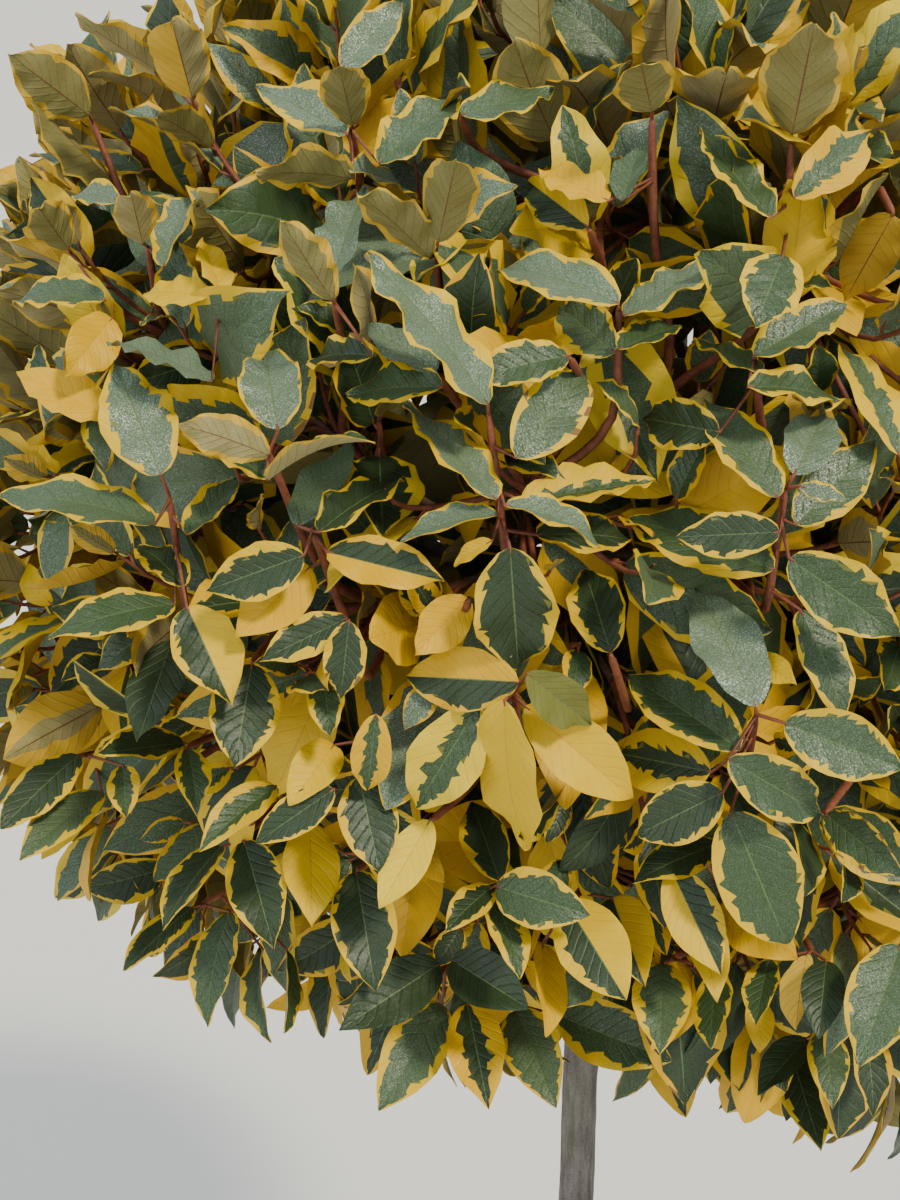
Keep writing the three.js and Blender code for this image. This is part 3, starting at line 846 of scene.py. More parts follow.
def pierced(starts, ends, leaves, pairs):
    """Whether each pair's line passes through the pair's leaf."""
    line, leaf = pairs.T
    face = leaves["face"][leaf]
    aim = leaves["aim"][leaf]
    root = leaves["root"][leaf]
    length = leaves["length"][leaf]
    first = starts[line] - root
    second = ends[line] - root
    before = dot(first, face)[:, 0]
    after = dot(second, face)[:, 0]
    share = before / np.where(np.abs(before - after) < 1e-9, 1e-9, before - after)
    place = mix(first, second, share[:, None])
    along = dot(place, aim)[:, 0] / length - 0.5
    across = dot(place, np.cross(face, aim))[:, 0] / (length * LEAF_WIDTH_RATIO)
    return (before * after < 0) & (along ** 2 + across ** 2 < BLADE_OVAL)


def find_crossings(leaves, segments):
    """The leaves that another leaf or a stem passes through, the younger of two being left out."""
    count = len(leaves["step"])
    side = np.cross(leaves["face"], leaves["aim"])
    length = leaves["length"][:, None]
    middles = point_along(leaves, 0.5)
    pairs = near_pairs(middles, middles, LEAF_LENGTH * BLADE_REACH)
    pairs = pairs[pairs[:, 0] != pairs[:, 1]]
    crossing = np.zeros(count, dtype=bool)
    age = leaves["step"] * count + np.arange(count)
    for across, low, high in BLADE_LINES:
        shift = side * length * LEAF_WIDTH_RATIO * across
        starts = point_along(leaves, low) + shift
        ends = point_along(leaves, high) + shift
        struck = pairs[pierced(starts, ends, leaves, pairs)]
        older = np.where(age[struck[:, 0]] > age[struck[:, 1]], struck[:, 0], struck[:, 1])
        crossing[older] = True
    starts, ends, stems = segments
    pairs = near_pairs((starts + ends) / 2, middles, LEAF_LENGTH * STEM_REACH)
    own = stems[pairs[:, 0]] == leaves["stem"][pairs[:, 1]]
    gap = np.linalg.norm(starts[pairs[:, 0]] - leaves["place"][pairs[:, 1]], axis=1)
    pairs = pairs[~(own & (gap < OWN_STEM_GAP))]
    crossing[pairs[pierced(starts, ends, leaves, pairs), 1]] = True
    return crossing


# The sprays that stand out in the photograph. Places are pixels of its 900 × 1200 frame.

def leaf(base, tip, wide, kind="edged", tint="mid", inside=0.012, size=1.0, under=False, lit="left",
         yellow="butter"):
    """One leaf: wide is its seen width, inside how deep its base lies, lit the side that is yellow."""
    return {"base": base, "tip": tip, "wide": wide, "kind": kind, "tint": tint, "inside": inside,
            "size": size, "under": under, "lit": lit, "yellow": yellow}


def spray(foot, top, *leaves):
    return {"foot": foot, "top": top, "leaves": leaves}


LEADING_SPRAYS = (
    spray((508, 575), (488, 408),
        leaf((488, 405), (385, 240), 50, tint="silver", inside=0.0),
        leaf((516, 458), (593, 360), 68, tint="grey"),
        leaf((496, 500), (408, 398), 46, tint="silver"),
        leaf((505, 506), (614, 518), 28, tint="silver", inside=0.004),
        leaf((522, 503), (655, 475), 44, "streaked", inside=0.022),
        leaf((498, 515), (396, 522), 22, tint="silver"),
        leaf((492, 541), (450, 562), 18, "whole", size=0.42),
        leaf((510, 547), (519, 677), 92, tint="deep", inside=0.004),
        leaf((536, 535), (639, 529), 45, tint="deep", inside=0.034)),
    spray((770, 590), (786, 485),
        leaf((780, 532), (677, 537), 46, tint="deep", inside=0.006),
        leaf((774, 570), (629, 509), 64, inside=0.024),
        leaf((777, 498), (708, 394), 50, tint="grey"),
        leaf((794, 475), (832, 399), 55, "green", tint="silver"),
        leaf((796, 525), (876, 440), 58, tint="grey", inside=0.024),
        leaf((789, 558), (900, 636), 70, inside=0.006),
        leaf((799, 486), (846, 498), 18, tint="silver", size=0.7, inside=0.002),
        leaf((800, 610), (857, 713), 45, inside=0.034)),
    spray((742, 800), (757, 712),
        leaf((756, 707), (700, 578), 64, "green", tint="silver", inside=0.002),
        leaf((740, 750), (628, 668), 62, inside=0.012),
        leaf((784, 723), (902, 768), 68, tint="grey", inside=0.01),
        leaf((728, 759), (835, 823), 62, inside=0.002),
        leaf((711, 772), (598, 749), 64, "streaked", tint="deep", inside=0.02),
        leaf((723, 792), (637, 835), 60, tint="deep", inside=0.008),
        leaf((731, 812), (790, 952), 84, inside=0.008),
        leaf((720, 843), (637, 872), 38, tint="deep", inside=0.03)),
    spray((850, 780), (826, 812),
        leaf((826, 815), (902, 874), 46, inside=0.02)),
    spray((520, 760), (515, 688),
        leaf((505, 700), (503, 866), 68, "whole", inside=0.002),
        leaf((525, 706), (637, 803), 70, "whole", inside=0.02),
        leaf((519, 682), (402, 676), 66, "half", tint="deep", lit="right", yellow="gold", inside=0.01),
        leaf((527, 673), (594, 727), 54, "green", tint="lime", inside=0.0, size=0.8),
        leaf((478, 706), (410, 818), 76, "streaked", yellow="cream", inside=0.018)),
    spray((450, 640), (470, 600),
        leaf((468, 598), (415, 655), 64, "whole", yellow="gold", inside=0.03)),
    spray((508, 930), (495, 886),
        leaf((500, 881), (470, 798), 50, tint="deep", inside=0.022),
        leaf((493, 887), (450, 915), 30, tint="deep", size=0.7),
        leaf((497, 887), (573, 910), 58, size=0.9, inside=0.006),
        leaf((493, 895), (526, 964), 34, "streaked", inside=0.01)),
    spray((590, 880), (568, 905),
        leaf((565, 901), (625, 998), 68, "half", tint="deep", inside=0.01),
        leaf((542, 944), (549, 1033), 36, "whole", yellow="gold", inside=0.014),
        leaf((612, 898), (642, 978), 62, "half", tint="deep", inside=0.028)),
    spray((500, 990), (520, 1008),
        leaf((559, 1016), (660, 1056), 60, inside=0.024),
        leaf((516, 1010), (553, 1100), 58, tint="grey", inside=0.022),
        leaf((467, 1004), (487, 1100), 55, "streaked", tint="deep", yellow="gold", inside=0.012),
        leaf((452, 960), (523, 1005), 58, "green", tint="deep", inside=0.008)),
    spray((690, 840), (672, 870),
        leaf((671, 869), (720, 973), 55, "half", tint="deep", lit="right", inside=0.014),
        leaf((690, 905), (722, 990), 42, "whole", inside=0.032),
        leaf((723, 901), (789, 953), 58, "whole", yellow="gold", inside=0.036)),
    spray((690, 950), (664, 962),
        leaf((662, 964), (660, 1047), 57, tint="grey", inside=0.01),
        leaf((717, 970), (708, 1044), 35, size=0.85)),
    spray((345, 620), (312, 528),
        leaf((319, 532), (402, 460), 44, tint="deep", inside=0.004),
        leaf((304, 555), (208, 590), 58, tint="deep", inside=0.004),
        leaf((327, 552), (443, 581), 52, "half", tint="deep", lit="right", yellow="gold"),
        leaf((298, 526), (344, 429), 45, "green", tint="grey", inside=0.024),
        leaf((310, 567), (238, 635), 66, "whole", yellow="gold", inside=0.026)),
    spray((296, 520), (268, 450),
        leaf((270, 455), (177, 417), 43, under=True, inside=0.006),
        leaf((267, 480), (356, 409), 16, under=True, inside=0.0),
        leaf((270, 480), (207, 435), 34, inside=0.02),
        leaf((278, 430), (262, 333), 66, tint="silver", inside=0.014)),
    spray((190, 640), (168, 490),
        leaf((161, 475), (113, 358), 76, tint="silver", inside=0.004),
        leaf((155, 524), (2, 466), 42, tint="grey", inside=0.006),
        leaf((187, 607), (230, 701), 72, "half", tint="deep", inside=0.002),
        leaf((175, 604), (53, 615), 40),
        leaf((184, 587), (138, 529), 38, tint="deep", inside=0.022),
        leaf((187, 535), (238, 483), 30, tint="grey", inside=0.018),
        leaf((172, 640), (138, 742), 50, "green", tint="deep", inside=0.03)),
    spray((270, 640), (252, 662),
        leaf((252, 664), (235, 764), 86, tint="deep", inside=0.022)),
    spray((365, 670), (348, 618),
        leaf((347, 618), (261, 661), 40, tint="deep", inside=0.014),
        leaf((349, 621), (341, 697), 46, tint="deep", size=0.85, inside=0.006),
        leaf((323, 670), (330, 733), 38, size=0.8, inside=0.024)),
    spray((390, 760), (372, 716),
        leaf((376, 714), (366, 803), 42, "streaked", yellow="gold", inside=0.01),
        leaf((359, 777), (379, 869), 58, tint="deep", inside=0.022),
        leaf((334, 745), (298, 793), 60, "whole", size=0.9, inside=0.028)),
    spray((365, 800), (336, 788),
        leaf((334, 789), (257, 842), 42, tint="deep", inside=0.006),
        leaf((310, 823), (312, 915), 55, "whole", inside=0.026)),
    spray((455, 800), (432, 820),
        leaf((430, 820), (380, 907), 45, "whole", yellow="cream", inside=0.02)),
    spray((270, 810), (240, 842),
        leaf((244, 841), (273, 944), 58, tint="deep", inside=0.008),
        leaf((276, 786), (202, 835), 40, "streaked"),
        leaf((222, 846), (155, 912), 32, tint="deep")),
    spray((380, 850), (357, 870),
        leaf((356, 872), (373, 975), 65, tint="deep", inside=0.02)),
    spray((250, 880), (200, 905),
        leaf((192, 907), (123, 963), 30, tint="deep"),
        leaf((230, 912), (191, 1010), 38),
        leaf((263, 950), (240, 1030), 16),
        leaf((287, 950), (290, 1030), 18)),
    spray((460, 940), (440, 975),
        leaf((439, 964), (347, 1025), 60, "green", tint="deep", inside=0.012),
        leaf((442, 1004), (385, 1100), 60, tint="grey", inside=0.016)),
    spray((140, 775), (85, 755),
        leaf((79, 755), (0, 818), 40, tint="deep"),
        leaf((102, 792), (20, 849), 36, tint="grey"),
        leaf((123, 766), (125, 810), 32, "streaked", size=0.6, inside=0.0)),
    spray((215, 735), (188, 746),
        leaf((184, 743), (100, 752), 36, tint="deep", inside=0.02),
        leaf((187, 749), (201, 799), 33, size=0.7)),
    spray((120, 190), (91, 118),
        leaf((89, 115), (13, 57), 57, under=True),
        leaf((119, 201), (66, 184), 30, tint="silver")),
    spray((100, 290), (70, 252),
        leaf((69, 250), (32, 198), 63, under=True, size=0.9),
        leaf((105, 300), (5, 282), 34, tint="grey")),
    spray((210, 140), (192, 100),
        leaf((192, 98), (169, 11), 60, "half", under=True, yellow="gold"),
        leaf((161, 72), (76, 19), 24, under=True)),
    spray((360, 170), (350, 128),
        leaf((353, 126), (339, 66), 66, under=True),
        leaf((347, 135), (255, 79), 45, tint="silver"),
        leaf((379, 164), (459, 83), 45, tint="grey"),
        leaf((354, 178), (250, 158), 40, under=True, inside=0.02)),
    spray((345, 95), (341, 70),
        leaf((342, 69), (399, 6), 43, tint="silver")),
    spray((155, 290), (148, 246),
        leaf((143, 244), (129, 187), 43, under=True, size=0.9),
        leaf((164, 267), (184, 172), 32, tint="silver")),
    spray((225, 330), (220, 296),
        leaf((221, 293), (204, 238), 30, "whole", size=0.85),
        leaf((209, 296), (138, 284), 32, "whole"),
        leaf((212, 382), (111, 324), 28, "green", tint="silver")),
    spray((125, 350), (114, 322),
        leaf((112, 318), (70, 370), 50, "whole", yellow="gold", size=0.9)),
    spray((130, 450), (117, 420),
        leaf((115, 420), (18, 372), 45, "whole", yellow="gold", inside=0.006)),
    spray((345, 350), (334, 302),
        leaf((333, 301), (281, 221), 45, under=True, inside=0.004),
        leaf((334, 277), (359, 175), 45, "green", tint="silver", inside=0.016),
        leaf((373, 356), (293, 344), 38, tint="deep")),
    spray((440, 300), (436, 250),
        leaf((430, 258), (359, 178), 45, under=True, inside=0.016),
        leaf((438, 243), (462, 135), 60, under=True, inside=0.006)),
    spray((455, 400), (440, 378),
        leaf((436, 373), (367, 324), 40, "green", tint="silver", inside=0.02),
        leaf((442, 387), (340, 382), 40, inside=0.012)),
    spray((653, 210), (652, 115),
        leaf((652, 112), (637, 46), 84, under=True),
        leaf((608, 201), (538, 162), 35, "whole", yellow="gold"),
        leaf((622, 201), (639, 145), 35, "green", tint="grey", size=0.8)),
    spray((600, 260), (590, 230),
        leaf((588, 227), (516, 172), 50, "half", tint="deep", lit="right", inside=0.03)),
    spray((470, 140), (462, 118),
        leaf((461, 115), (555, 86), 36, tint="grey")),
    spray((786, 250), (792, 140),
        leaf((792, 135), (817, 11), 76, under=True, yellow="gold"),
        leaf((771, 218), (700, 132), 36),
        leaf((794, 198), (881, 118), 55, "streaked", tint="grey", yellow="gold"),
        leaf((783, 255), (757, 322), 82, inside=0.006, size=0.95)),
    spray((880, 190), (893, 214),
        leaf((893, 215), (845, 300), 55, "whole", under=True, inside=0.024)),
    spray((617, 390), (618, 308),
        leaf((619, 304), (496, 244), 50, tint="silver", inside=0.002),
        leaf((615, 353), (550, 298), 55, tint="grey", inside=0.022),
        leaf((625, 316), (717, 258), 32, tint="silver"),
        leaf((619, 350), (682, 318), 28, size=0.8)),
    spray((585, 385), (570, 358),
        leaf((568, 356), (473, 370), 42, inside=0.02)),
    spray((760, 420), (754, 358),
        leaf((754, 356), (846, 301), 45, tint="grey"),
        leaf((760, 373), (694, 331), 26),
        leaf((748, 387), (849, 382), 32, inside=0.004),
        leaf((720, 432), (637, 417), 55, tint="deep", inside=0.026)),
    spray((905, 480), (899, 456),
        leaf((898, 455), (855, 330), 42, "streaked", tint="grey")),
    spray((625, 700), (611, 655),
        leaf((611, 653), (582, 561), 60, tint="deep", inside=0.03)),
    spray((800, 930), (812, 952),
        leaf((826, 961), (820, 1021), 40, "green", tint="deep", size=0.8),
        leaf((806, 955), (792, 1024), 30, "whole", under=True, size=0.85),
        leaf((769, 960), (754, 1019), 33, size=0.75)),
    spray((840, 1000), (820, 1030),
        leaf((823, 1027), (835, 1095), 36, tint="grey", size=0.85),
        leaf((806, 1039), (760, 1088), 36, "green", tint="deep", size=0.85)),
    spray((915, 920), (902, 944),
        leaf((900, 945), (863, 1056), 64, tint="grey", inside=0.004)),
)

LEADING_LEAN = 0.03  # the most that a leading leaf's tip stands nearer or further than its base
LEADING_REACH = (0.3, 1.2)  # where the camera looks for the outline, and in how many steps
LEADING_STEPS = 900
LEADING_CLEARANCE = 0.017  # what a leading leaf's bend may need in front of its tip
FOOT_DEPTH = 0.050
TOP_DEPTH = 0.020
LEADING_POINTS = 16
LEAST_RUN = 0.030  # the shortest run of a leading shoot to its foot
TURN_COST = 0.120  # how much further it may come from for a gentler bend
BEND_REACH = 0.42
FIRST_FORK = 2  # the first point of a twig that a leading shoot may leave
WIDTH_RATIOS = (0.46, 0.64)  # the slimmest and broadest leading leaf, of its length
LEAST_FACING = 0.15  # how far it is turned to the camera at least
ARCH_SHARE = 0.98  # what an arched leaf spans of its length
LEADING_CALM = 0.65  # how much it bends, curls and twists, of what others do
COVER = 0.9  # the share of a leading leaf's oval that is kept clear
COVER_GAP = 0.001  # and how much nearer something is that covers it


def camera_axes():
    pitch = math.radians(CAMERA_PITCH)
    yaw = math.radians(CAMERA_YAW)
    right = np.array([math.cos(yaw), math.sin(yaw), 0.0])
    ahead = np.array([-math.sin(yaw) * math.cos(pitch), math.cos(yaw) * math.cos(pitch), -math.sin(pitch)])
    return right, np.cross(right, ahead), ahead


EYE = np.array(CAMERA_PLACE)
RIGHT, ABOVE, AHEAD = camera_axes()
FOCAL = CAMERA_LENS / SENSOR_HEIGHT * PHOTO_HEIGHT


def pixel_ray(pixel):
    """The direction in which the camera sees a pixel of the photograph."""
    return unit(AHEAD * FOCAL + RIGHT * (pixel[0] - PHOTO_WIDTH / 2) - ABOVE * (pixel[1] - PHOTO_HEIGHT / 2))


def to_pixels(points):
    """Pixels of points, and how far ahead of the camera they lie."""
    offset = points - EYE
    ahead = offset @ AHEAD
    return np.stack([PHOTO_WIDTH / 2 + FOCAL * (offset @ RIGHT) / ahead,
                     PHOTO_HEIGHT / 2 - FOCAL * (offset @ ABOVE) / ahead], axis=-1), ahead


def under_outline(pixel, inside):
    """The first point along a pixel's ray that lies so deep in the outline, or the deepest there is."""
    points = EYE + pixel_ray(pixel) * np.linspace(*LEADING_REACH, LEADING_STEPS)[:, None]
    depth = depth_in_head(points) + outline_swell(unit(points - HEAD_CENTRE))
    deep = np.nonzero(depth >= inside)[0]
    return points[deep[0] if len(deep) else np.argmax(depth)]


def leading_path(row, laterals):
    """A shoot from a twig that it can leave in a gentle bend, past the spray's foot to its top."""
    foot = under_outline(row["foot"], FOOT_DEPTH)
    top = under_outline(row["top"], TOP_DEPTH)
    rising = unit(top - foot)
    forks = laterals["paths"][:, FIRST_FORK:-1]
    leaving = unit(laterals["paths"][:, -1] - laterals["paths"][:, 0])
    run = np.linalg.norm(foot - forks, axis=2)
    onward = (foot - forks) / run[:, :, None]
    turn = 2 - np.sum(onward * rising, axis=2) - np.sum(onward * leaving[:, None], axis=2)
    cost = np.maximum(run, LEAST_RUN) + TURN_COST * turn
    twig, fork = np.unravel_index(np.argmin(cost), cost.shape)
    start = forks[twig, fork]
    reach = run[twig, fork] * BEND_REACH
    corners = (start, start + leaving[twig] * reach, foot - rising * reach, foot)
    inner = np.array([cubic(corners, share) for share in np.linspace(0, 1, LEADING_POINTS // 2)])
    outer = bezier_path([foot, mix(foot, top, 0.5), top], LEADING_POINTS // 2 + 1)
    return np.concatenate([inner[:-1], outer]), laterals["owner"][twig]


def turn_blade(row, root, aim, length):
    """How wide a blade is and which way its upper side looks, so that it is seen as wide as it should."""
    view = unit(EYE - root - aim * length / 2)
    face = unit(view - aim * (aim @ view))
    seen = row["wide"] / (length / np.linalg.norm(EYE - root) * FOCAL)
    ratio = np.clip(seen, *WIDTH_RATIOS)
    roll = math.acos(np.clip(seen / ratio, LEAST_FACING, 1))
    face = -face if row["under"] else face
    side = np.cross(aim, face)
    choices = [face * math.cos(roll) + side * math.sin(roll) * hand for hand in (-1, 1)]
    return ratio, max(choices, key=lambda choice: choice[2])


def list_leading(laterals):
    """The shoots and leaves of the leading sprays, leaves as rows like those of the others."""
    paths = []
    rows = []
    for index, row in enumerate(LEADING_SPRAYS):
        path, owner = leading_path(row, laterals)
        paths.append(path)
        fine_path = np.concatenate([mix(path[:-1], path[1:], quarter / 4) for quarter in range(4)])
        for one in row["leaves"]:
            root = under_outline(one["base"], one["inside"])
            ray = pixel_ray(one["tip"])
            along = (root - EYE) @ ray
            gap = np.linalg.norm(root - EYE - ray * along)
            lean = math.sqrt(max((LEAF_LENGTH * one["size"]) ** 2 - gap ** 2, 0))
            nearer = (one["tip"][1] > one["base"][1]) != one["under"]
            reach = along - min(lean, LEADING_LEAN) * (1 if nearer else -1)
            nearest = (spare_room()[0][1] + LEADING_CLEARANCE - EYE[1]) / ray[1]
            tip = EYE + ray * max(reach, nearest)
            length = np.linalg.norm(tip - root)
            aim = unit(tip - root)
            ratio, face = turn_blade(one, root, aim, length)
            hand = int((one["lit"] == "left") != one["under"])
            place = fine_path[np.argmin(np.linalg.norm(fine_path - root, axis=1))]
            rows.append({
                "toward": unit(root - HEAD_CENTRE), "owner": owner, "stem": index, "step": -1,
                "place": place, "root": root, "aim": aim, "face": face, "length": length / ARCH_SHARE,
                "ratio": ratio, "calm": LEADING_CALM, "kind": one["kind"], "hand": hand,
                "back": int(index % 3 == 0), "tint": TINTS.index(one["tint"]),
                "yellow": YELLOW_TINTS.index(one["yellow"]),
            })
    return {key: np.array([row[key] for row in rows]) for key in rows[0]}, paths


def in_front(points, leading):
    """Which points hide a leading leaf from the camera."""
    pixels, ahead = to_pixels(points)
    base, base_ahead = to_pixels(leading["root"])
    tip, tip_ahead = to_pixels(point_along(leading, 1))
    wide = np.array([one["wide"] for row in LEADING_SPRAYS for one in row["leaves"]])
    hidden = np.zeros(len(points), dtype=bool)
    for index in range(len(base)):
        line = tip[index] - base[index]
        offset = pixels - base[index]
        along = offset @ line / (line @ line)
        across = (offset[:, 0] * line[1] - offset[:, 1] * line[0]) / np.linalg.norm(line) / wide[index]
        over = ((along - 0.5) ** 2 + across ** 2) * 4 < COVER
        hidden |= over & (ahead < mix(base_ahead[index], tip_ahead[index], along) - COVER_GAP)
    return hidden


def hides_leading(leaves, leading):
    """Which leaves hide a leading leaf from the camera."""
    side = np.cross(leaves["face"], leaves["aim"]) * (leaves["length"] * LEAF_WIDTH_RATIO)[:, None]
    hidden = np.zeros(len(side), dtype=bool)
    for along, across in BLADE_SPOTS:
        hidden |= in_front(point_along(leaves, along) + side * across, leading)
    return hidden


HIDDEN_POINTS = 2  # a shoot's first points lie too deep in the head to hide anything


def drop_hiding_shoots(shoots, leaves, leading):
    """Leaves out the shoots whose wood would cross the front of a leading leaf."""
    points = shoots["paths"][:, HIDDEN_POINTS:].reshape(-1, 3)
    kept = ~in_front(points, leading).reshape(len(shoots["owner"]), -1).any(axis=1)
    number = np.cumsum(kept) - 1
    leaves = take(leaves, kept[leaves["stem"]])
    leaves["stem"] = number[leaves["stem"]]
    return take(shoots, kept), leaves


PARTING_ROUNDS = 15
PARTING_TURN = 0.34  # how much a leaf in the way is turned round its shoot, and to it or off it
PARTING_SPREAD = 0.18
PARTING_SHRINK = (0.965, 0.99)  # what it keeps of its length, deep in the head and further out
CUT_LENGTH = 0.7  # and what it keeps at least when it is cut back to the outline
TURNED_BEYOND = 0.002  # leaves further past the outline are turned, and in the end dropped
DROPPED_BEYOND = 0.006
STEM_ROOM = 0.02


def part_leaves(leaves, leading, paths):
    """Turns leaves that pass through each other or hide a leading one, until few do, which are dropped."""
    count_all = len(leaves["step"])

    def find_wrong():
        shared = ("step", "face", "aim", "length", "root", "stem", "place")
        both = {key: np.concatenate([leaves[key], leading[key]]) for key in shared}
        return find_crossings(both, segments)[:count_all] | hides_leading(leaves, leading)

    sizes = [len(path) - 1 for path in paths]
    segments = (np.concatenate([path[:-1] for path in paths]), np.concatenate([path[1:] for path in paths]),
                np.repeat(np.arange(len(paths)), sizes))
    leaves["length"] = leaves["length"] * np.clip(1 - overreach(leaves) / leaves["length"], CUT_LENGTH, 1)
    inner = depth_in_head(point_along(leaves, DEPTH_SHARE)) > FINE_DEPTH
    for _ in range(PARTING_ROUNDS):
        crossing = find_wrong() | (overreach(leaves) > TURNED_BEYOND)
        count = crossing.sum()
        leaves["turn"][crossing] += RANDOM.normal(0, PARTING_TURN, count)
        leaves["spread"][crossing] += RANDOM.normal(0, PARTING_SPREAD, count)
        leaves["length"][crossing] *= np.where(inner[crossing], *PARTING_SHRINK)
        orient(leaves)
    stem = stem_axis(np.clip(leaves["root"][:, 2], STEM_FOOT_Z, STEM_TIP_Z))
    near_stem = np.linalg.norm((leaves["root"] - stem)[:, :2], axis=1) < STEM_ROOM
    dropped = find_wrong() | (overreach(leaves) > DROPPED_BEYOND) | near_stem
    return take(leaves, ~dropped)


GREEN_COUNT = 4  # the tints that are dealt out, without lime
STRAY_SHARE = 0.2  # leaves of another tint than their spray's
SHADED_AGE = 6  # leaves older than this are a tint darker
WHOLE_SHARE = 0.6  # of a spray's brightness, the share of wholly yellow leaves
HALF_SHARE = 0.10
STREAKED_SHARE = 0.22  # with the half yellow ones
GREEN_FROM = 0.93
WIDTH_VARIES = 0.09


def pattern_leaves(leaves):
    """Deals each leaf its kind of variegation and its colours."""
    count = len(leaves["step"])
    tint = (leaves["silver"] * GREEN_COUNT).astype(int)
    tint = np.where(RANDOM.random(count) < STRAY_SHARE, RANDOM.integers(0, GREEN_COUNT - 1, count), tint)
    leaves["tint"] = np.clip(tint - (leaves["step"] > SHADED_AGE), 0, GREEN_COUNT - 1)
    leaves["yellow"] = np.where(RANDOM.random(count) < STRAY_SHARE,
                                RANDOM.integers(0, len(YELLOW_TINTS), count), leaves["yellow"])
    chance = RANDOM.random(count)
    bright = leaves["bright"] * WHOLE_SHARE
    whole = chance < bright
    half = ~whole & (chance < bright + HALF_SHARE)
    streaked = ~whole & ~half & (chance < bright + STREAKED_SHARE)
    green = ~whole & ~half & ~streaked & (chance > GREEN_FROM)
    leaves["kind"] = np.select([whole, half, streaked, green],
                               ["whole", "half", "streaked", "green"], "edged")
    leaves["hand"] = RANDOM.integers(0, 2, count)
    leaves["ratio"] = LEAF_WIDTH_RATIO * RANDOM.normal(1, WIDTH_VARIES, count)
    leaves["calm"] = np.ones(count)
    return leaves


# Leaf blades. Rows run from the base to the tip, columns from margin to margin.

LEADING_ROWS = np.array([0.02, 0.06, 0.11, 0.17, 0.23, 0.30, 0.37, 0.44, 0.51, 0.58, 0.65, 0.72, 0.79, 0.85,
                         0.91, 0.955, 0.985])
FINE_ROWS = np.array([0.03, 0.10, 0.19, 0.29, 0.39, 0.49, 0.59, 0.69, 0.79, 0.88, 0.955])
FAIR_ROWS = np.array([0.04, 0.17, 0.33, 0.49, 0.65, 0.80, 0.93])
PLAIN_ROWS = np.array([0.08, 0.30, 0.56, 0.82])
ROW_SLANT = 0.10  # rows lean forward to the margin, as the veins do
RIB = 0.020
BLADE_DEPTH = 0.011
BLADE_CROWN = 0.030
BASE_BLUNTNESS = 0.56  # the smaller, the blunter the end
WIDEST_SHIFT = 0.90  # under 1, the blade is widest nearer its base
LEAST_BEND = 1e-4
FINE_STRIPS = ("margin", "between", "green", "rib", "green", "between", "margin")
FINE_BACKS = ("back_margin", "back", "back_rib", "back", "back_margin")
FAIR_STRIPS = ("margin", "between", "green", "green", "between", "margin")
FAIR_BACKS = ("back_margin", "back", "back", "back_margin")
PLAIN_STRIPS = ("margin", "green", "margin")
PLAIN_BACKS = ("back", "back")
GRADES = {
    "leading": (LEADING_ROWS, FINE_STRIPS, FINE_BACKS),
    "fine": (FINE_ROWS, FINE_STRIPS, FINE_BACKS),
    "fair": (FAIR_ROWS, FAIR_STRIPS, FAIR_BACKS),
    "plain": (PLAIN_ROWS, PLAIN_STRIPS, PLAIN_BACKS),
}


def blade_profile(share, tip):
    """Half the width of a blade along its length, 1 at its widest: a round base and a blunt tip."""
    swell = np.sin(np.pi * np.clip(share, 0, 1) ** WIDEST_SHIFT)
    return np.maximum(swell, 0) ** mix(BASE_BLUNTNESS, tip, share)


MOST_CRIMP = 0.32  # the most waves along a margin for each row of the blade
CALM_BASE = 0.2  # the share of a blade over which its waves begin
CRISPNESS = (0.45, 1.35)  # how wavy and ragged margins are, low and high on the head


def ease(rows):
    """Each row between its two neighbours is drawn towards them."""
    return rows[:, 1:-1] * 0.6 + (rows[:, :-2] + rows[:, 2:]) * 0.2


def leaf_shape(leaves, rows):
    count = len(leaves["step"])
    crisp = mix(*CRISPNESS, above(leaves["toward"][:, 2:], *CRISP_ABOVE))
    return {
        "width": leaves["ratio"],
        "bend": RANDOM.normal(0.35, 0.30, count) * leaves["calm"],
        "curl": RANDOM.normal(0.05, 0.05, count) * leaves["calm"],
        "twist": RANDOM.normal(0, 0.20, count) * leaves["calm"],
        "fold": RANDOM.uniform(0.06, 0.46, count),
        "tip": RANDOM.uniform(0.72, 1.16, count),
        "wave": RANDOM.uniform(0.014, 0.042, (count, 2)) * crisp,
        "crimp": np.minimum(RANDOM.uniform(2.0, 3.9, (count, 2)), rows * MOST_CRIMP),
        "phase": RANDOM.uniform(0, 2 * np.pi, (count, 2)),
        "ragged": ease(RANDOM.normal(0, 0.050, (count, rows + 2, 2))) * crisp[..., None],
    }


def lay_blade(leaves, shape, rows, across, under):
    """Places and heights of one blade's points at shares of its half width."""
    hand = (across > 0).astype(int)
    lifted = np.abs(across)
    leaf = np.arange(len(across))[:, None, None]
    row = np.arange(len(rows))[None, :, None]
    share = rows[None, :, None] + ROW_SLANT * lifted * np.sin(np.pi * rows)[None, :, None]
    length = leaves["length"][:, None, None]
    half = length * shape["width"][:, None, None] / 2 * blade_profile(share, shape["tip"][:, None, None])
    half = half * (1 + shape["ragged"][leaf, row, hand] * lifted ** 2)
    fold = shape["fold"][:, None, None]
    angle = 2 * np.pi * shape["crimp"][leaf, hand] * share + shape["phase"][leaf, hand]
    wave = shape["wave"][leaf, hand] * np.sin(angle) * smooth(share / CALM_BASE)
    lift = half * lifted * np.sin(fold) + wave * length * lifted ** 1.5
    if under:
        lift = lift - BLADE_DEPTH * length * (1 - lifted)
    else:
        lift = lift + BLADE_CROWN * length * lifted * (1 - lifted)
    return spine(leaves, shape, share, half * across * np.cos(fold), lift), lift, share


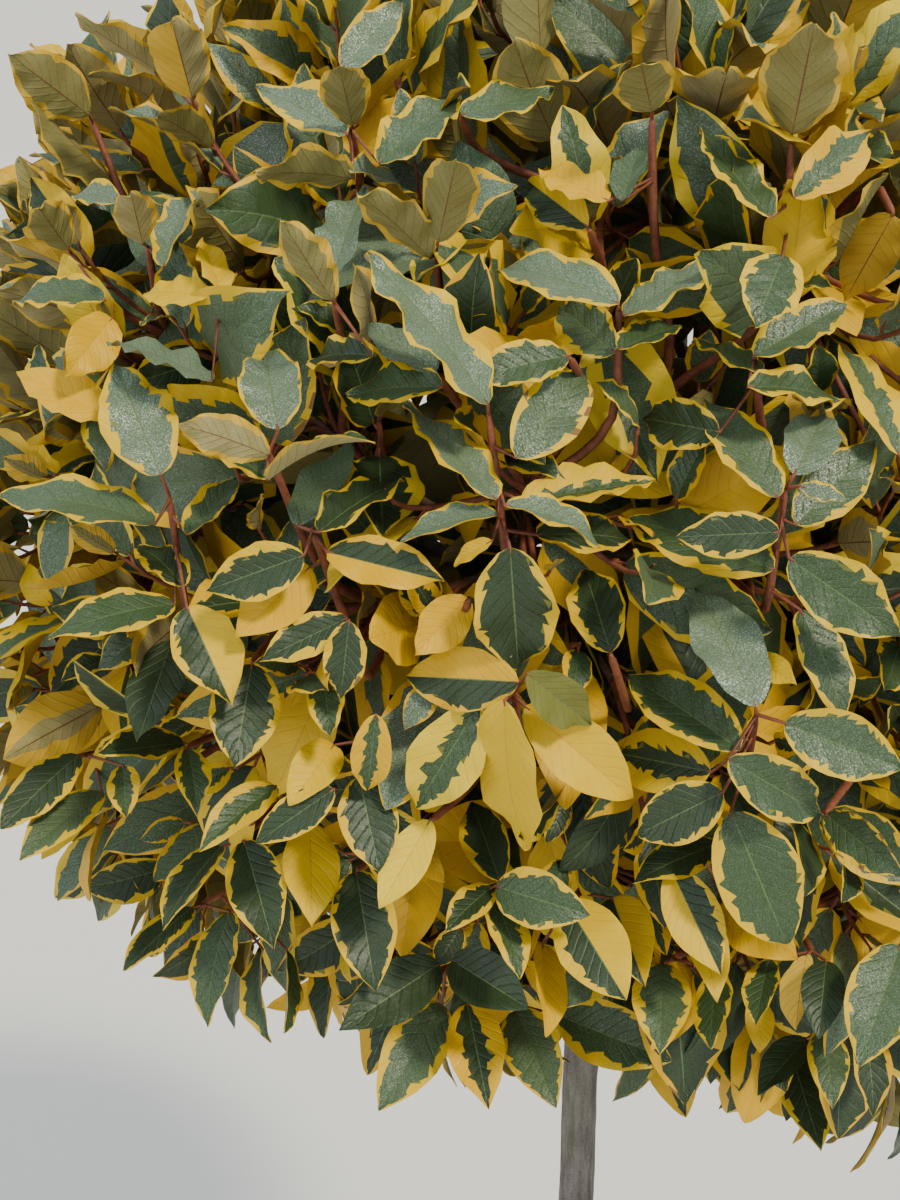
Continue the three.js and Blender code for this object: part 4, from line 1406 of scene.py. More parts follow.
def spine(leaves, shape, share, sideways=0.0, lift=0.0):
    """Points beside and above the arched and twisted midrib of each leaf."""
    every = (slice(None),) + (None,) * (share.ndim - 1)
    length = leaves["length"][every]
    bend = shape["bend"][every] + LEAST_BEND
    angle = bend * share
    forward = length * np.sin(angle) / bend
    down = length * ((1 - np.cos(angle)) / bend + shape["curl"][every] * share ** 4)
    aim = leaves["aim"][every]
    face = leaves["face"][every]
    root = leaves["root"][every]
    side = np.cross(face, aim)
    up = face * np.cos(angle)[..., None] + aim * np.sin(angle)[..., None]
    twist = (shape["twist"][every] * share)[..., None]
    turned_side = side * np.cos(twist) + up * np.sin(twist)
    turned_up = up * np.cos(twist) - side * np.sin(twist)
    sideways = np.broadcast_to(sideways, share.shape)[..., None]
    lift = np.broadcast_to(lift, share.shape)[..., None]
    midrib = root + aim * forward[..., None] - face * down[..., None]
    return midrib + turned_side * sideways + turned_up * lift


def strip_faces(rows, columns, backs):
    """The corners of a blade's quads and end triangles, each with its row and strip."""
    stride = columns + backs
    around = [*range(columns), *range(stride - 1, columns - 1, -1), 0]
    quads = []
    ends = []
    for strip, (a, b) in enumerate(zip(around[:-1], around[1:])):
        for row in range(rows - 1):
            low = 2 + row * stride
            quads.append((low + a, low + stride + a, low + stride + b, low + b, row, strip))
        last = 2 + (rows - 1) * stride
        ends.append((0, 2 + a, 2 + b, 0, strip))
        ends.append((1, last + b, last + a, rows - 1, strip))
    return np.array(quads), np.array(ends)


def split_quads(quads, heights, columns):
    """Cuts each quad along the diagonal that keeps the upper skin above the lower one."""
    a, d, c, b = quads[:, :4].T
    upper = quads[:, 5] < columns - 1
    ridge = heights[:, a] + heights[:, c] > heights[:, d] + heights[:, b]
    along_ac = np.where(upper[None], ridge, ~ridge)[..., None]
    first = np.where(along_ac, np.stack([a, d, c], axis=1)[None], np.stack([a, d, b], axis=1)[None])
    second = np.where(along_ac, np.stack([a, c, b], axis=1)[None], np.stack([d, c, b], axis=1)[None])
    return np.concatenate([first, second], axis=1)


GREEN_WIDTH = 0.72  # how far the green middle reaches to the margin, and on a streaked leaf
STREAK_WIDTH = 0.36
EDGE_WANDER = 0.07
GREEN_LIMITS = (0.14, 0.86)
RAGGED_BAND = (0.06, 0.22)  # how wide the ragged edge of the green is
RAGGED_LIMITS = (0.3, 0.95)


def zone_edges(leaves, rows):
    """Where the green middle ends on each side, row by row, and the outer end of its ragged edge."""
    count = len(leaves["step"])
    usual = np.where(leaves["kind"] == "streaked", STREAK_WIDTH, GREEN_WIDTH)[:, None, None]
    drift = RANDOM.normal(0, EDGE_WANDER, (count, 2, 1))
    inner = np.clip(usual + drift + RANDOM.normal(0, EDGE_WANDER, (count, 2, rows)), *GREEN_LIMITS)
    outer = np.clip(inner + RANDOM.uniform(*RAGGED_BAND, (count, 2, rows)), *RAGGED_LIMITS)
    return inner, outer


GREEN_ROWS = 0.26  # between middle and margin, the share of rows that are all green
CUT_ROWS = 0.48  # and that are cut across, some of them with lime
LIME_ROWS = 0.05
DRY_ROWS = 0.3  # the share of a dry leaf's margin that is dry
DRY_LEAVES = 0.03


def coat_strips(leaves, rows, strips, back_strips):
    """The finish of both triangles in each row of each strip, the back's strips running the other way."""
    count = len(leaves["step"])
    kind = leaves["kind"]
    green = GREEN_COATS[leaves["tint"]][:, None]
    yellow = YELLOW_COATS[leaves["yellow"]][:, None]
    back = BACK_COATS[leaves["back"]][:, None]
    # The backs of yellow zones take a finish that is partly their own yellow and partly a painted glow of
    # light shining through the blade.
    back_yellow_and_painted_glow = np.full((count, 1), COAT["back_yellow_and_painted_glow"])
    dry = (RANDOM.random((count, rows)) < DRY_ROWS) & (RANDOM.random((count, 1)) < DRY_LEAVES)
    coats = []
    hands = [int(index >= len(strips) / 2) for index in range(len(strips))]
    hands += [int(index < len(back_strips) / 2) for index in range(len(back_strips))]
    for strip, hand in zip(strips + back_strips, hands):
        lit = ((kind == "whole") | ((kind == "half") & (leaves["hand"] == hand)))[:, None]
        plain = (kind == "green")[:, None]
        ragged = RANDOM.random((count, rows))
        if strip == "margin":
            value = np.where(plain, green, yellow)
            value = np.where(dry, COAT["edge_dry"], value)
        elif strip == "between":
            inner = np.where(ragged < GREEN_ROWS + CUT_ROWS, green, yellow)
            inner = np.where(np.abs(ragged - GREEN_ROWS) < LIME_ROWS, COAT["green_lime"], inner)
            outer = np.where(ragged < GREEN_ROWS, green, yellow)
            value = np.stack([inner, outer] if hand else [outer, inner], axis=-1)
            value = np.where(lit[..., None], yellow[..., None],
                             np.where(plain[..., None], green[..., None], value))
        elif strip == "green":
            value = np.where(lit, yellow, green)
        elif strip == "rib":
            value = np.where((kind == "whole")[:, None], COAT["rib_yellow"], COAT["rib_green"])
        elif strip == "back_margin":
            value = np.where(plain, back, back_yellow_and_painted_glow)
        elif strip == "back":
            value = np.where(lit, back_yellow_and_painted_glow, back)
        else:
            value = np.full((count, 1), COAT["rib_back"])
        if value.ndim == 2:
            value = value[..., None]
        coats.append(np.broadcast_to(value, (count, rows, 2)))
    return np.stack(coats, axis=2)


def make_blades(leaves, grade):
    """Points, triangles, finishes, places on the blade and margin flags of one set of leaves."""
    count = len(leaves["step"])
    rows, strips, back_strips = GRADES[grade]
    shape = leaf_shape(leaves, len(rows))
    inner, outer = zone_edges(leaves, len(rows))
    middle = (inner + outer) / 2
    one = np.ones((count, len(rows)))
    if grade in ("leading", "fine"):
        columns = [-one, -outer[:, 0], -inner[:, 0], -one * RIB, one * RIB, inner[:, 1], outer[:, 1], one]
        backs = [-middle[:, 0], -one * RIB, one * RIB, middle[:, 1]]
    elif grade == "fair":
        columns = [-one, -outer[:, 0], -inner[:, 0], one * 0, inner[:, 1], outer[:, 1], one]
        backs = [-middle[:, 0], one * 0, middle[:, 1]]
    else:
        columns = [-one, -inner[:, 0], inner[:, 1], one]
        backs = [one * 0]
    columns = np.stack(columns, axis=2)
    backs = np.stack(backs, axis=2)
    upper, upper_lift, upper_share = lay_blade(leaves, shape, rows, columns, False)
    lower, lower_lift, lower_share = lay_blade(leaves, shape, rows, backs, True)
    ends = spine(leaves, shape, np.broadcast_to(np.array([0.0, 1.0]), (count, 2)))
    body = np.concatenate([upper, lower], axis=2).reshape(count, -1, 3)
    points = np.concatenate([ends, body], axis=1)
    heights = np.concatenate([upper_lift, lower_lift], axis=2).reshape(count, -1)
    heights = np.concatenate([np.zeros((count, 2)), heights], axis=1)
    quads, end_tris = strip_faces(len(rows), columns.shape[2], backs.shape[2])
    coats = coat_strips(leaves, len(rows), strips, back_strips)
    quad_coats = coats[:, quads[:, 4], quads[:, 5]]
    tris = np.concatenate([
        split_quads(quads, heights, columns.shape[2]),
        np.broadcast_to(end_tris[:, :3], (count, len(end_tris), 3)),
    ], axis=1)
    offsets = np.arange(count)[:, None, None] * points.shape[1]
    along = np.concatenate([upper_share, lower_share], axis=2)
    across = np.concatenate([columns, backs], axis=2) / 2 + 0.5
    places = np.stack([along, across], axis=-1).reshape(count, -1, 2)
    end_places = np.broadcast_to(np.array([[0, 0.5], [1, 0.5]]), (count, 2, 2))
    margins = np.zeros(points.shape[1], dtype=bool)
    margins[:2] = True
    margins[2::across.shape[2]] = True
    margins[1 + columns.shape[2]::across.shape[2]] = True
    return {
        "points": points.reshape(-1, 3),
        "tris": (tris + offsets).reshape(-1, 3),
        "coats": np.concatenate([quad_coats[..., 0], quad_coats[..., 1],
                                 coats[:, end_tris[:, 3], end_tris[:, 4], 0]], axis=1).ravel(),
        "places": np.concatenate([end_places, places], axis=1).reshape(-1, 2),
        "margins": np.tile(margins, count),
    }


def join_blades(sets):
    sizes = np.cumsum([0] + [len(one["points"]) for one in sets])
    joined = {key: np.concatenate([one[key] for one in sets])
              for key in ("points", "coats", "places", "margins")}
    joined["tris"] = np.concatenate([one["tris"] + size for one, size in zip(sets, sizes)])
    return joined


LEAF_PIECES = {
    "leaves_upper_front": ("mass_top", "mass_upper_1", "mass_upper_2", "mass_upper_5"),
    "leaves_upper_back": ("mass_upper_3", "mass_upper_4"),
    "leaves_middle_front": ("mass_middle_1", "mass_middle_2", "mass_middle_6"),
    "leaves_middle_back": ("mass_middle_3", "mass_middle_4", "mass_middle_5"),
    "leaves_lower_front": ("mass_lower_1", "mass_lower_2", "mass_lower_5"),
    "leaves_lower_back": ("mass_lower_3", "mass_lower_4"),
}


def make_leaves(leaves):
    names = np.array([mass["name"] for mass in MASSES])[leaves["owner"]]
    middle = point_along(leaves, DEPTH_SHARE)
    outer = depth_in_head(middle) < FINE_DEPTH
    front = unit(middle - HEAD_CENTRE) @ unit(np.array(FRONT)) > FRONT_SHARE
    leading = leaves["step"] < 0
    grades = {"leading": leading, "fine": outer & front & ~leading, "fair": outer & ~front & ~leading,
              "plain": ~outer & ~leading}
    for piece_name, mass_names in LEAF_PIECES.items():
        mine = np.isin(names, mass_names)
        blades = join_blades([make_blades(take(leaves, mine & chosen), grade)
                              for grade, chosen in grades.items() if (mine & chosen).any()])
        piece = mesh_piece(piece_name, blades["points"], [blades["tris"]], LEAF_COATS, blades["coats"],
                           blades["places"])
        sharpen(piece, blades["margins"])
        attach(piece, "root")
        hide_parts(*mass_names)


# Twigs and leaf stalks: lines that Geometry Nodes turn into round limbs

class Grower:
    """A Geometry Nodes tree with named inputs."""

    def __init__(self, name, inputs):
        self.tree = bpy.data.node_groups.new(name, "GeometryNodeTree")
        face = self.tree.interface
        face.new_socket("Geometry", in_out="INPUT", socket_type="NodeSocketGeometry")
        self.identifiers = {}
        for label, (kind, default) in inputs.items():
            socket = face.new_socket(label, in_out="INPUT", socket_type=kind)
            if default is not None:
                socket.default_value = default
            self.identifiers[label] = socket.identifier
        face.new_socket("Geometry", in_out="OUTPUT", socket_type="NodeSocketGeometry")
        self.entry = self.tree.nodes.new("NodeGroupInput")
        self.exit = self.tree.nodes.new("NodeGroupOutput")

    def node(self, kind, settings=(), *values, **named):
        made = self.tree.nodes.new(kind)
        for key, value in dict(settings).items():
            setattr(made, key, value)
        for key, value in [*enumerate(values), *named.items()]:
            socket = made.inputs[key.replace("_", " ") if isinstance(key, str) else key]
            if isinstance(value, bpy.types.NodeSocket):
                self.tree.links.new(value, socket)
            else:
                socket.default_value = value
        return made.outputs

    def close(self, geometry):
        """Ends the tree in real geometry with its coat."""
        solid = self.node("GeometryNodeRealizeInstances", Geometry=geometry)
        coated = self.node("GeometryNodeSetMaterial", Geometry=solid["Geometry"],
                           Material=self.entry.outputs["Coat"])
        self.tree.links.new(coated["Geometry"], self.exit.inputs[0])

    def grow(self, piece, **inputs):
        """Runs the tree on a piece and leaves a plain mesh with the result."""
        modifier = piece.modifiers.new("grow", "NODES")
        modifier.node_group = self.tree
        for label, value in inputs.items():
            modifier[self.identifiers[label.replace("_", " ")]] = value
        graph = bpy.context.evaluated_depsgraph_get()
        grown = bpy.data.meshes.new_from_object(piece.evaluated_get(graph))
        piece.modifiers.remove(modifier)
        seed_mesh = piece.data
        piece.data = grown
        grown.name = piece.name
        bpy.data.meshes.remove(seed_mesh)


TWIG_SIDES = 7
SHOOT_SIDES = 5
STALK_SIDES = 3
MASS_STEM_POINTS = 9
SNUG = 0.98  # a mass's stem is a little thinner than the bough's tip


def build_line_grower():
    grower = Grower("round_limbs", {
        "Sides": ("NodeSocketInt", TWIG_SIDES),
        "Coat": ("NodeSocketMaterial", None),
    })
    entry = grower.entry.outputs
    thickness = grower.node("GeometryNodeInputNamedAttribute", {"data_type": "FLOAT"}, Name="thickness")
    curve = grower.node("GeometryNodeMeshToCurve", Mesh=entry["Geometry"])
    ring = grower.node("GeometryNodeCurvePrimitiveCircle", {"mode": "RADIUS"}, Resolution=entry["Sides"],
                       Radius=1.0)
    limb = grower.node("GeometryNodeCurveToMesh", Curve=curve["Curve"], Profile_Curve=ring["Curve"],
                       Scale=thickness["Attribute"], Fill_Caps=True)
    grower.close(grower.node("GeometryNodeSetShadeSmooth", Geometry=limb["Mesh"])["Geometry"])
    return grower


LINE_GROWER = build_line_grower()


def limb_piece(name, paths, thicknesses, sides, coat):
    """One piece of round limbs along many paths."""
    sizes = [len(path) for path in paths]
    starts = np.cumsum([0] + sizes[:-1])
    edges = np.concatenate([start + np.stack([np.arange(size - 1), np.arange(1, size)], axis=1)
                            for start, size in zip(starts, sizes)])
    mesh = bpy.data.meshes.new(name)
    mesh.from_pydata(np.concatenate(paths).tolist(), edges.tolist(), [])
    attribute = mesh.attributes.new("thickness", "FLOAT", "POINT")
    attribute.data.foreach_set("value", np.concatenate(thicknesses).astype(np.float32))
    piece = bpy.data.objects.new(name, mesh)
    bpy.context.scene.collection.objects.link(piece)
    LINE_GROWER.grow(piece, Sides=sides, Coat=coat)
    return piece


def twig_coat(name, dark, light, roughness):
    board = Board(name)
    grain = board.noise(220, 3.0, 0.6)
    fine = board.noise(1100, 2.0, 0.6)
    shade = board.ramp(grain * 0.6 + fine * 0.4, [(0.3, dark), (0.7, light)])
    return board.finish(Base_Color=shade, Roughness=fine * 0.2 + roughness,
                        Normal=board.bump(fine, 0.0003), Specular_IOR_Level=0.4)


def taper(radii, count):
    """Radii that shrink evenly along a shoot and more at its bud."""
    thickness = np.linspace(*radii, count)
    thickness[-1] *= BUD_SHARE
    return thickness


def make_twigs(shoots, laterals, leading_paths):
    woody_paths = list(laterals["paths"])
    woody_radii = [np.linspace(*LATERAL_RADII, LATERAL_POINTS)] * len(woody_paths)
    for mass in MASSES:
        start = mass["corners"][-1] if mass["bough"] else stem_axis(np.float64(STEM_TIP_Z))
        leaving = unit(mass["corners"][-1] - mass["corners"][-2]) if mass["bough"] else UP
        stem = bezier_path([start, start + leaving * KNEE * 2, mass["middle"]], MASS_STEM_POINTS)
        woody_paths.append(stem)
        woody_radii.append(np.linspace(BOUGH_TIP_RADIUS * SNUG, LATERAL_RADII[0], len(stem)))
    twigs = limb_piece("twigs", woody_paths, woody_radii, TWIG_SIDES, TWIG_COAT)
    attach(twigs, "root")
    green_wood = limb_piece(
        "shoots", [*shoots["paths"], *leading_paths],
        [taper(SHOOT_RADII, SHOOT_POINTS)] * len(shoots["paths"])
        + [taper(LEADING_RADII, LEADING_POINTS)] * len(leading_paths), SHOOT_SIDES, SHOOT_COAT)
    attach(green_wood, "root")


def bezier_path(corners, count):
    """A quadratic curve through three corners."""
    share = np.linspace(0, 1, count)[:, None]
    first, bend, last = (np.asarray(corner) for corner in corners)
    return (1 - share) ** 2 * first + 2 * (1 - share) * share * bend + share ** 2 * last


def make_stalks(leaves):
    into = leaves["root"] + leaves["aim"] * STALK_INTO_LEAF
    paths = np.stack([leaves["place"], leaves["root"], into], axis=1)
    stalks = limb_piece("leaf_stalks", list(paths), [STALK_RADII] * len(paths), STALK_SIDES, SHOOT_COAT)
    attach(stalks, "root")


# Bark: stem and boughs in one mesh with its relief

BARK_GRAINS = ((150, 22, 0.6), (420, 90, 0.3), (40, 9, 0.5))  # how fine across and along, and how high
BARK_SPACING = 0.004
STEM_RELIEF = 0.0011
BOUGH_RELIEF = 0.0006
COLLAR_RISE = 0.5  # how much thicker a bough is where it leaves the stem, and how far out
COLLAR_LENGTH = 0.012
LEAST_RINGS = 12
STEM_SIDES = 44
BOUGH_SIDES = 20
KNOT_HEIGHTS = (0.43, 0.52, 0.635, 0.70, 0.79, 0.885, 0.96, 1.03)
KNOT_TURN = 2.4
KNOT_RISE = 0.0022
KNOT_SIZE = 0.007
KNOT_DIMPLE = (0.6, 2.4)  # the depth and fineness of a knot's dimple, of the knot's


def bark_coat():
    board = Board("bark")
    place = board.place()
    tall = board.node("ShaderNodeMapping", Vector=place, Scale=(1, 1, 0.16))
    streak = board.noise(190, 4.0, 0.6, tall)
    patch = board.noise(16, 3.0, 0.55, tall)
    grain = board.noise(900, 2.0, 0.6)
    base = board.ramp(streak * 0.65 + grain * 0.35, [
        (0.30, colour(58, 52, 47)), (0.50, colour(98, 91, 84)), (0.72, colour(136, 128, 117))])
    lichen = (patch - 0.55).math("MAXIMUM", 0) * 3
    shade = board.blend(lichen, base, colour(126, 128, 106))
    return board.finish(Base_Color=shade, Roughness=0.86 - grain * 0.14,
                        Normal=board.bump(streak * 0.7 + grain * 0.3, 0.0008), Specular_IOR_Level=0.3)


def bark_relief(points, depth):
    """How far the bark stands out or in at each point."""
    values = [sum(noise.noise(Vector((x * across, y * across, z * along))) * share
                  for across, along, share in BARK_GRAINS)
              for x, y, z in points.tolist()]
    return np.array(values) * depth


def stem_tube():
    heights = np.linspace(STEM_FOOT_Z, STEM_TIP_Z, int((STEM_TIP_Z - STEM_FOOT_Z) / BARK_SPACING))
    points = stem_axis(heights)
    turn = np.arange(STEM_SIDES) * 2 * np.pi / STEM_SIDES
    flare = np.exp(-(heights - STEM_FOOT_Z) / FLARE_HEIGHT)[:, None]
    lobes = 1 + FLARE_LOBE_DEPTH * flare * np.cos(FLARE_LOBES * turn)[None]
    radii = (stem_radius(heights)[:, None] + FLARE_RADIUS * flare) * lobes
    dimple, finer = KNOT_DIMPLE
    for index, height in enumerate(KNOT_HEIGHTS):
        around = np.angle(np.exp(1j * (turn - index * KNOT_TURN)))[None] * stem_radius(height)
        distance = np.hypot(around, heights[:, None] - height) / KNOT_SIZE
        radii = (radii + KNOT_RISE * np.exp(-distance ** 2)
                 - KNOT_RISE * dimple * np.exp(-(distance * finer) ** 2))
    corners, quads, tris = tube(points, radii, STEM_SIDES)
    return relieve(corners, points, STEM_SIDES, STEM_RELIEF), quads, tris


def relieve(corners, points, sides, depth):
    """Moves every ring point in or out from its axis by the bark's relief."""
    count = len(points) * sides
    axis = np.repeat(points, sides, axis=0)
    outward = unit(corners[:count] - axis)
    moved = corners.copy()
    moved[:count] += outward * bark_relief(corners[:count], depth)[:, None]
    return moved


def bough_tube(mass):
    corners = mass["corners"]
    length = np.linalg.norm(corners[2] - corners[0])
    count = max(int(length / BARK_SPACING), LEAST_RINGS)
    points = bezier_path(corners, count)
    root = BOUGH_THICKNESS * stem_radius(mass["fork_z"])
    share = np.linspace(0, 1, count)[:, None]
    collar = root * COLLAR_RISE * np.exp(-share * length / COLLAR_LENGTH)
    radii = mix(root, BOUGH_TIP_RADIUS, share) + collar
    skin, quads, tris = tube(points, np.repeat(radii, BOUGH_SIDES, axis=1), BOUGH_SIDES)
    return relieve(skin, points, BOUGH_SIDES, BOUGH_RELIEF), quads, tris


def make_bark():
    boughs = [mass for mass in MASSES if mass["bough"]]
    points, faces = join_tubes([stem_tube(), *(bough_tube(mass) for mass in boughs)])
    piece = mesh_piece("stem_and_boughs", points, faces, [BARK_COAT])
    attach(piece, "root")
    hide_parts("trunk", *(mass["bough"] for mass in boughs))


# Container

POT_SIDES = 144
WALL_RINGS = 22  # rings between foot and band, and the wall left at both ends
WALL_ENDS = 0.012
CORNER_POINTS = 4
SLOT_COUNT = 8
SLOT_WIDTH = 0.022
SLOT_HEIGHT = 0.014
SLOT_DEPTH = 0.0018
UNDERSIDE = 0.0005  # what counts as the pot's flat underside


def pot_wall_radius(z):
    return mix(POT_BASE_RADIUS, POT_TOP_RADIUS, z / POT_HEIGHT)


def round_corner(before, corner, after, radius):
    """Points of a rounded corner of a profile."""
    corner = np.array(corner)
    first = corner + unit(np.array(before) - corner) * radius
    last = corner + unit(np.array(after) - corner) * radius
    return bezier_path([first, corner, last], CORNER_POINTS)


def round_profile(points, radii):
    """A profile whose corners are rounded, but for its two ends on the axis."""
    rounded = [np.array([points[0]])]
    for index in range(1, len(points) - 1):
        rounded.append(round_corner(points[index - 1], points[index], points[index + 1], radii[index]))
    rounded.append(np.array([points[-1]]))
    return np.concatenate(rounded)


def lathe(profile, sides):
    """A closed solid turned round the Z axis from a profile that starts and ends on it."""
    turn = np.arange(sides) * 2 * np.pi / sides
    inner = profile[1:-1]
    rings = np.stack([inner[:, 0, None] * np.cos(turn), inner[:, 0, None] * np.sin(turn),
                      np.repeat(inner[:, 1, None], sides, axis=1)], axis=-1)
    poles = np.array([[0, 0, profile[0, 1]], [0, 0, profile[-1, 1]]])
    return np.concatenate([rings.reshape(-1, 3), poles]), *ring_faces(len(inner), sides)


def make_pot():
    band_foot = POT_HEIGHT - RIM_DEPTH
    band_radius = pot_wall_radius(band_foot) + RIM_STEP
    lip_foot = POT_HEIGHT - LIP_DEPTH
    top_radius = pot_wall_radius(POT_HEIGHT) + RIM_STEP
    outer = [((0, 0), 0), ((POT_BASE_RADIUS - 0.001, 0), 0.003)]
    for height in np.linspace(WALL_ENDS, band_foot - WALL_ENDS, WALL_RINGS):
        outer.append(((pot_wall_radius(height), height), 0.001))
    outer += [
        ((pot_wall_radius(band_foot), band_foot), 0.002),
        ((band_radius, band_foot + RIM_STEP * 0.6), 0.0015),
        ((top_radius - 0.001, lip_foot), 0.0015),
        ((top_radius + LIP_WIDTH, lip_foot), 0.002),
        ((top_radius + LIP_WIDTH, POT_HEIGHT), 0.0025),
        ((top_radius - POT_WALL, POT_HEIGHT), 0.0014),
        ((band_radius - POT_WALL, band_foot + RIM_STEP), 0.0015),
        ((pot_wall_radius(band_foot) - POT_WALL, band_foot), 0.0015),
        ((pot_wall_radius(POT_FLOOR) - POT_WALL, POT_FLOOR), 0.003),
        ((0, POT_FLOOR), 0),
    ]
    points, quads, tris = lathe(round_profile(*zip(*outer)), POT_SIDES)
    radius = np.hypot(points[:, 0], points[:, 1])
    turn = np.arctan2(points[:, 1], points[:, 0])
    slot_turn = 2 * np.pi / SLOT_COUNT
    around = np.abs((turn + slot_turn / 2) % slot_turn - slot_turn / 2) * radius
    outside = radius > pot_wall_radius(points[:, 2]) - POT_WALL / 2
    low = outside & (points[:, 2] < SLOT_HEIGHT) & (points[:, 2] > UNDERSIDE) & (around < SLOT_WIDTH / 2)
    shift = np.where(low, SLOT_DEPTH / np.maximum(radius, 1e-6), 0)
    points[:, :2] *= (1 - shift)[:, None]
    piece = mesh_piece("pot_shell", points, [quads, tris], [POT_COAT])
    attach(piece, "root")
    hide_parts("pot")


def pot_coat():
    board = Board("pot_plastic")
    place = board.place()
    grain = board.noise(700, 2.0, 0.6)
    scuff = board.noise(26, 5.0, 0.65)
    tall = board.node("ShaderNodeMapping", Vector=place, Scale=(1, 1, 0.08))
    streak = board.noise(60, 3.0, 0.6, tall)
    dust = ((scuff * 0.6 + streak * 0.4) - 0.50).math("MAXIMUM", 0) * 2
    shade = board.blend(dust.math("MINIMUM", 0.5), colour(34, 36, 37), colour(84, 80, 73))
    return board.finish(Base_Color=shade, Roughness=scuff * 0.3 + 0.38,
                        Normal=board.bump(grain * 0.5 + scuff * 0.5, 0.0004))


# Compost and the crumbs and bark chips on it

def compost_coat(name, dark, light):
    board = Board(name)
    crumb = board.noise(260, 5.0, 0.7)
    patch = board.noise(30, 3.0, 0.6)
    shade = board.ramp(crumb * 0.7 + patch * 0.3, [(0.32, dark), (0.68, light)])
    return board.finish(Base_Color=shade, Roughness=0.97 - crumb * 0.1, Normal=board.bump(crumb, 0.0015),
                        Specular_IOR_Level=0.25)


COMPOST_SIDES = 120
COMPOST_GAP = 0.0008
COMPOST_RINGS = 44
COMPOST_SINK = 0.001
COMPOST_LUMPS = ((60, 3.1, 0.0022), (260, 7.7, 0.0016))  # how fine, where in the noise and how high
CALM_FOOT = (0.03, 0.02)  # how far round the stem the bed is even, and over how much it ends


def make_compost():
    inner = pot_wall_radius(POT_HEIGHT - RIM_DEPTH) - POT_WALL - COMPOST_GAP
    edge = COMPOST_TOP - 0.003
    rim = np.linspace(inner - 0.001, 0.004, COMPOST_RINGS)
    share = smooth((inner - rim) / (inner - 0.05))
    top = np.stack([rim, mix(COMPOST_TOP - 0.002, COMPOST_MIDDLE - COMPOST_SINK, share)], axis=1)
    foot = POT_FLOOR + 0.0006
    wall = [[0, foot], [pot_wall_radius(POT_FLOOR) - POT_WALL - 0.003, foot],
            [inner, POT_HEIGHT - RIM_DEPTH - 0.003], [inner, edge]]
    profile = np.concatenate([wall, top, [[0, COMPOST_MIDDLE - COMPOST_SINK]]])
    points, quads, tris = lathe(profile, COMPOST_SIDES)
    for row in points:
        if row[2] > edge + 0.0005:
            calm = min(1.0, max(0.0, (math.hypot(row[0], row[1]) - CALM_FOOT[0]) / CALM_FOOT[1]))
            lumps = sum(noise.noise(Vector((row[0] * fine, row[1] * fine, layer))) * high
                        for fine, layer, high in COMPOST_LUMPS)
            row[2] += lumps * calm - 0.0008
    piece = mesh_piece("compost_bed", points, [quads, tris], [COMPOST_COAT])
    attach(piece, "root")
    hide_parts("compost")
    return piece


UPWARD = 0.6  # faces that look up at least this much get chips
CHIP_TURN = (0.5, 0.5, 3.14)  # the most that a chip is turned, either way


def build_chip_grower():
    """Strews small flat chips over the upward faces of a mesh."""
    grower = Grower("strewn_chips", {
        "Density": ("NodeSocketFloat", 9000.0),
        "Smallest": ("NodeSocketFloat", 0.4),
        "Largest": ("NodeSocketFloat", 1.0),
        "Size": ("NodeSocketVector", (0.012, 0.007, 0.003)),
        "Seed": ("NodeSocketInt", 4),
        "Coat": ("NodeSocketMaterial", None),
    })
    entry = grower.entry.outputs
    normal = grower.node("GeometryNodeInputNormal")
    split = grower.node("ShaderNodeSeparateXYZ", Vector=normal["Normal"])
    position = grower.node("GeometryNodeInputPosition")
    place = grower.node("ShaderNodeSeparateXYZ", Vector=position["Position"])
    more = {"data_type": "FLOAT", "operation": "GREATER_THAN"}
    upward = grower.node("FunctionNodeCompare", more, split["Z"], UPWARD)
    high = grower.node("FunctionNodeCompare", more, place["Z"], COMPOST_TOP - 0.006)
    both = grower.node("FunctionNodeBooleanMath", {"operation": "AND"}, upward[0], high[0])
    points = grower.node("GeometryNodeDistributePointsOnFaces", {"distribute_method": "RANDOM"},
                         Mesh=entry["Geometry"], Selection=both[0], Density=entry["Density"],
                         Seed=entry["Seed"])
    chip = grower.node("GeometryNodeMeshIcoSphere", Radius=0.5, Subdivisions=1)
    shaped = grower.node("GeometryNodeTransform", Geometry=chip["Mesh"], Scale=entry["Size"])
    turn = grower.node("FunctionNodeRandomValue", {"data_type": "FLOAT_VECTOR"}, Seed=entry["Seed"],
                       Min=tuple(-angle for angle in CHIP_TURN), Max=CHIP_TURN)
    size = grower.node("FunctionNodeRandomValue", {"data_type": "FLOAT"}, Seed=entry["Seed"],
                       Min=entry["Smallest"], Max=entry["Largest"])
    chips = grower.node("GeometryNodeInstanceOnPoints", Points=points["Points"],
                        Instance=shaped["Geometry"], Rotation=turn["Value"], Scale=size["Value"])
    grower.close(chips["Instances"])
    return grower


def make_chips(bed):
    grower = build_chip_grower()
    kinds = {
        "bark_chips": {"Density": 5200.0, "Size": (0.015, 0.008, 0.003), "Seed": 4, "Coat": CHIP_COAT},
        "compost_crumbs": {"Density": 18000.0, "Size": (0.005, 0.004, 0.003), "Seed": 11,
                           "Coat": COMPOST_COAT},
    }
    for name, inputs in kinds.items():
        piece = bpy.data.objects.new(name, bed.data.copy())
        bpy.context.scene.collection.objects.link(piece)
        grower.grow(piece, **inputs)
        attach(piece, "root")


# Floor, light and camera

def make_stage():
    near = -6.0
    depth = 5.0
    height = 6.0
    width = 7.0
    bend = 2.0
    steps = 16
    profile = [(near, 0.0), (depth - bend, 0.0)]
    for step in range(1, steps + 1):
        angle = step / steps * math.pi / 2
        profile.append((depth - bend + bend * math.sin(angle), bend - bend * math.cos(angle)))
    profile.append((depth, height))
    points = np.array([(x, y, z) for y, z in profile for x in (-width, width)])
    index = np.arange(len(profile) - 1) * 2
    quads = np.stack([index, index + 1, index + 3, index + 2], axis=1)
    floor = mesh_piece("floor", points, [quads], [FLOOR_COAT])


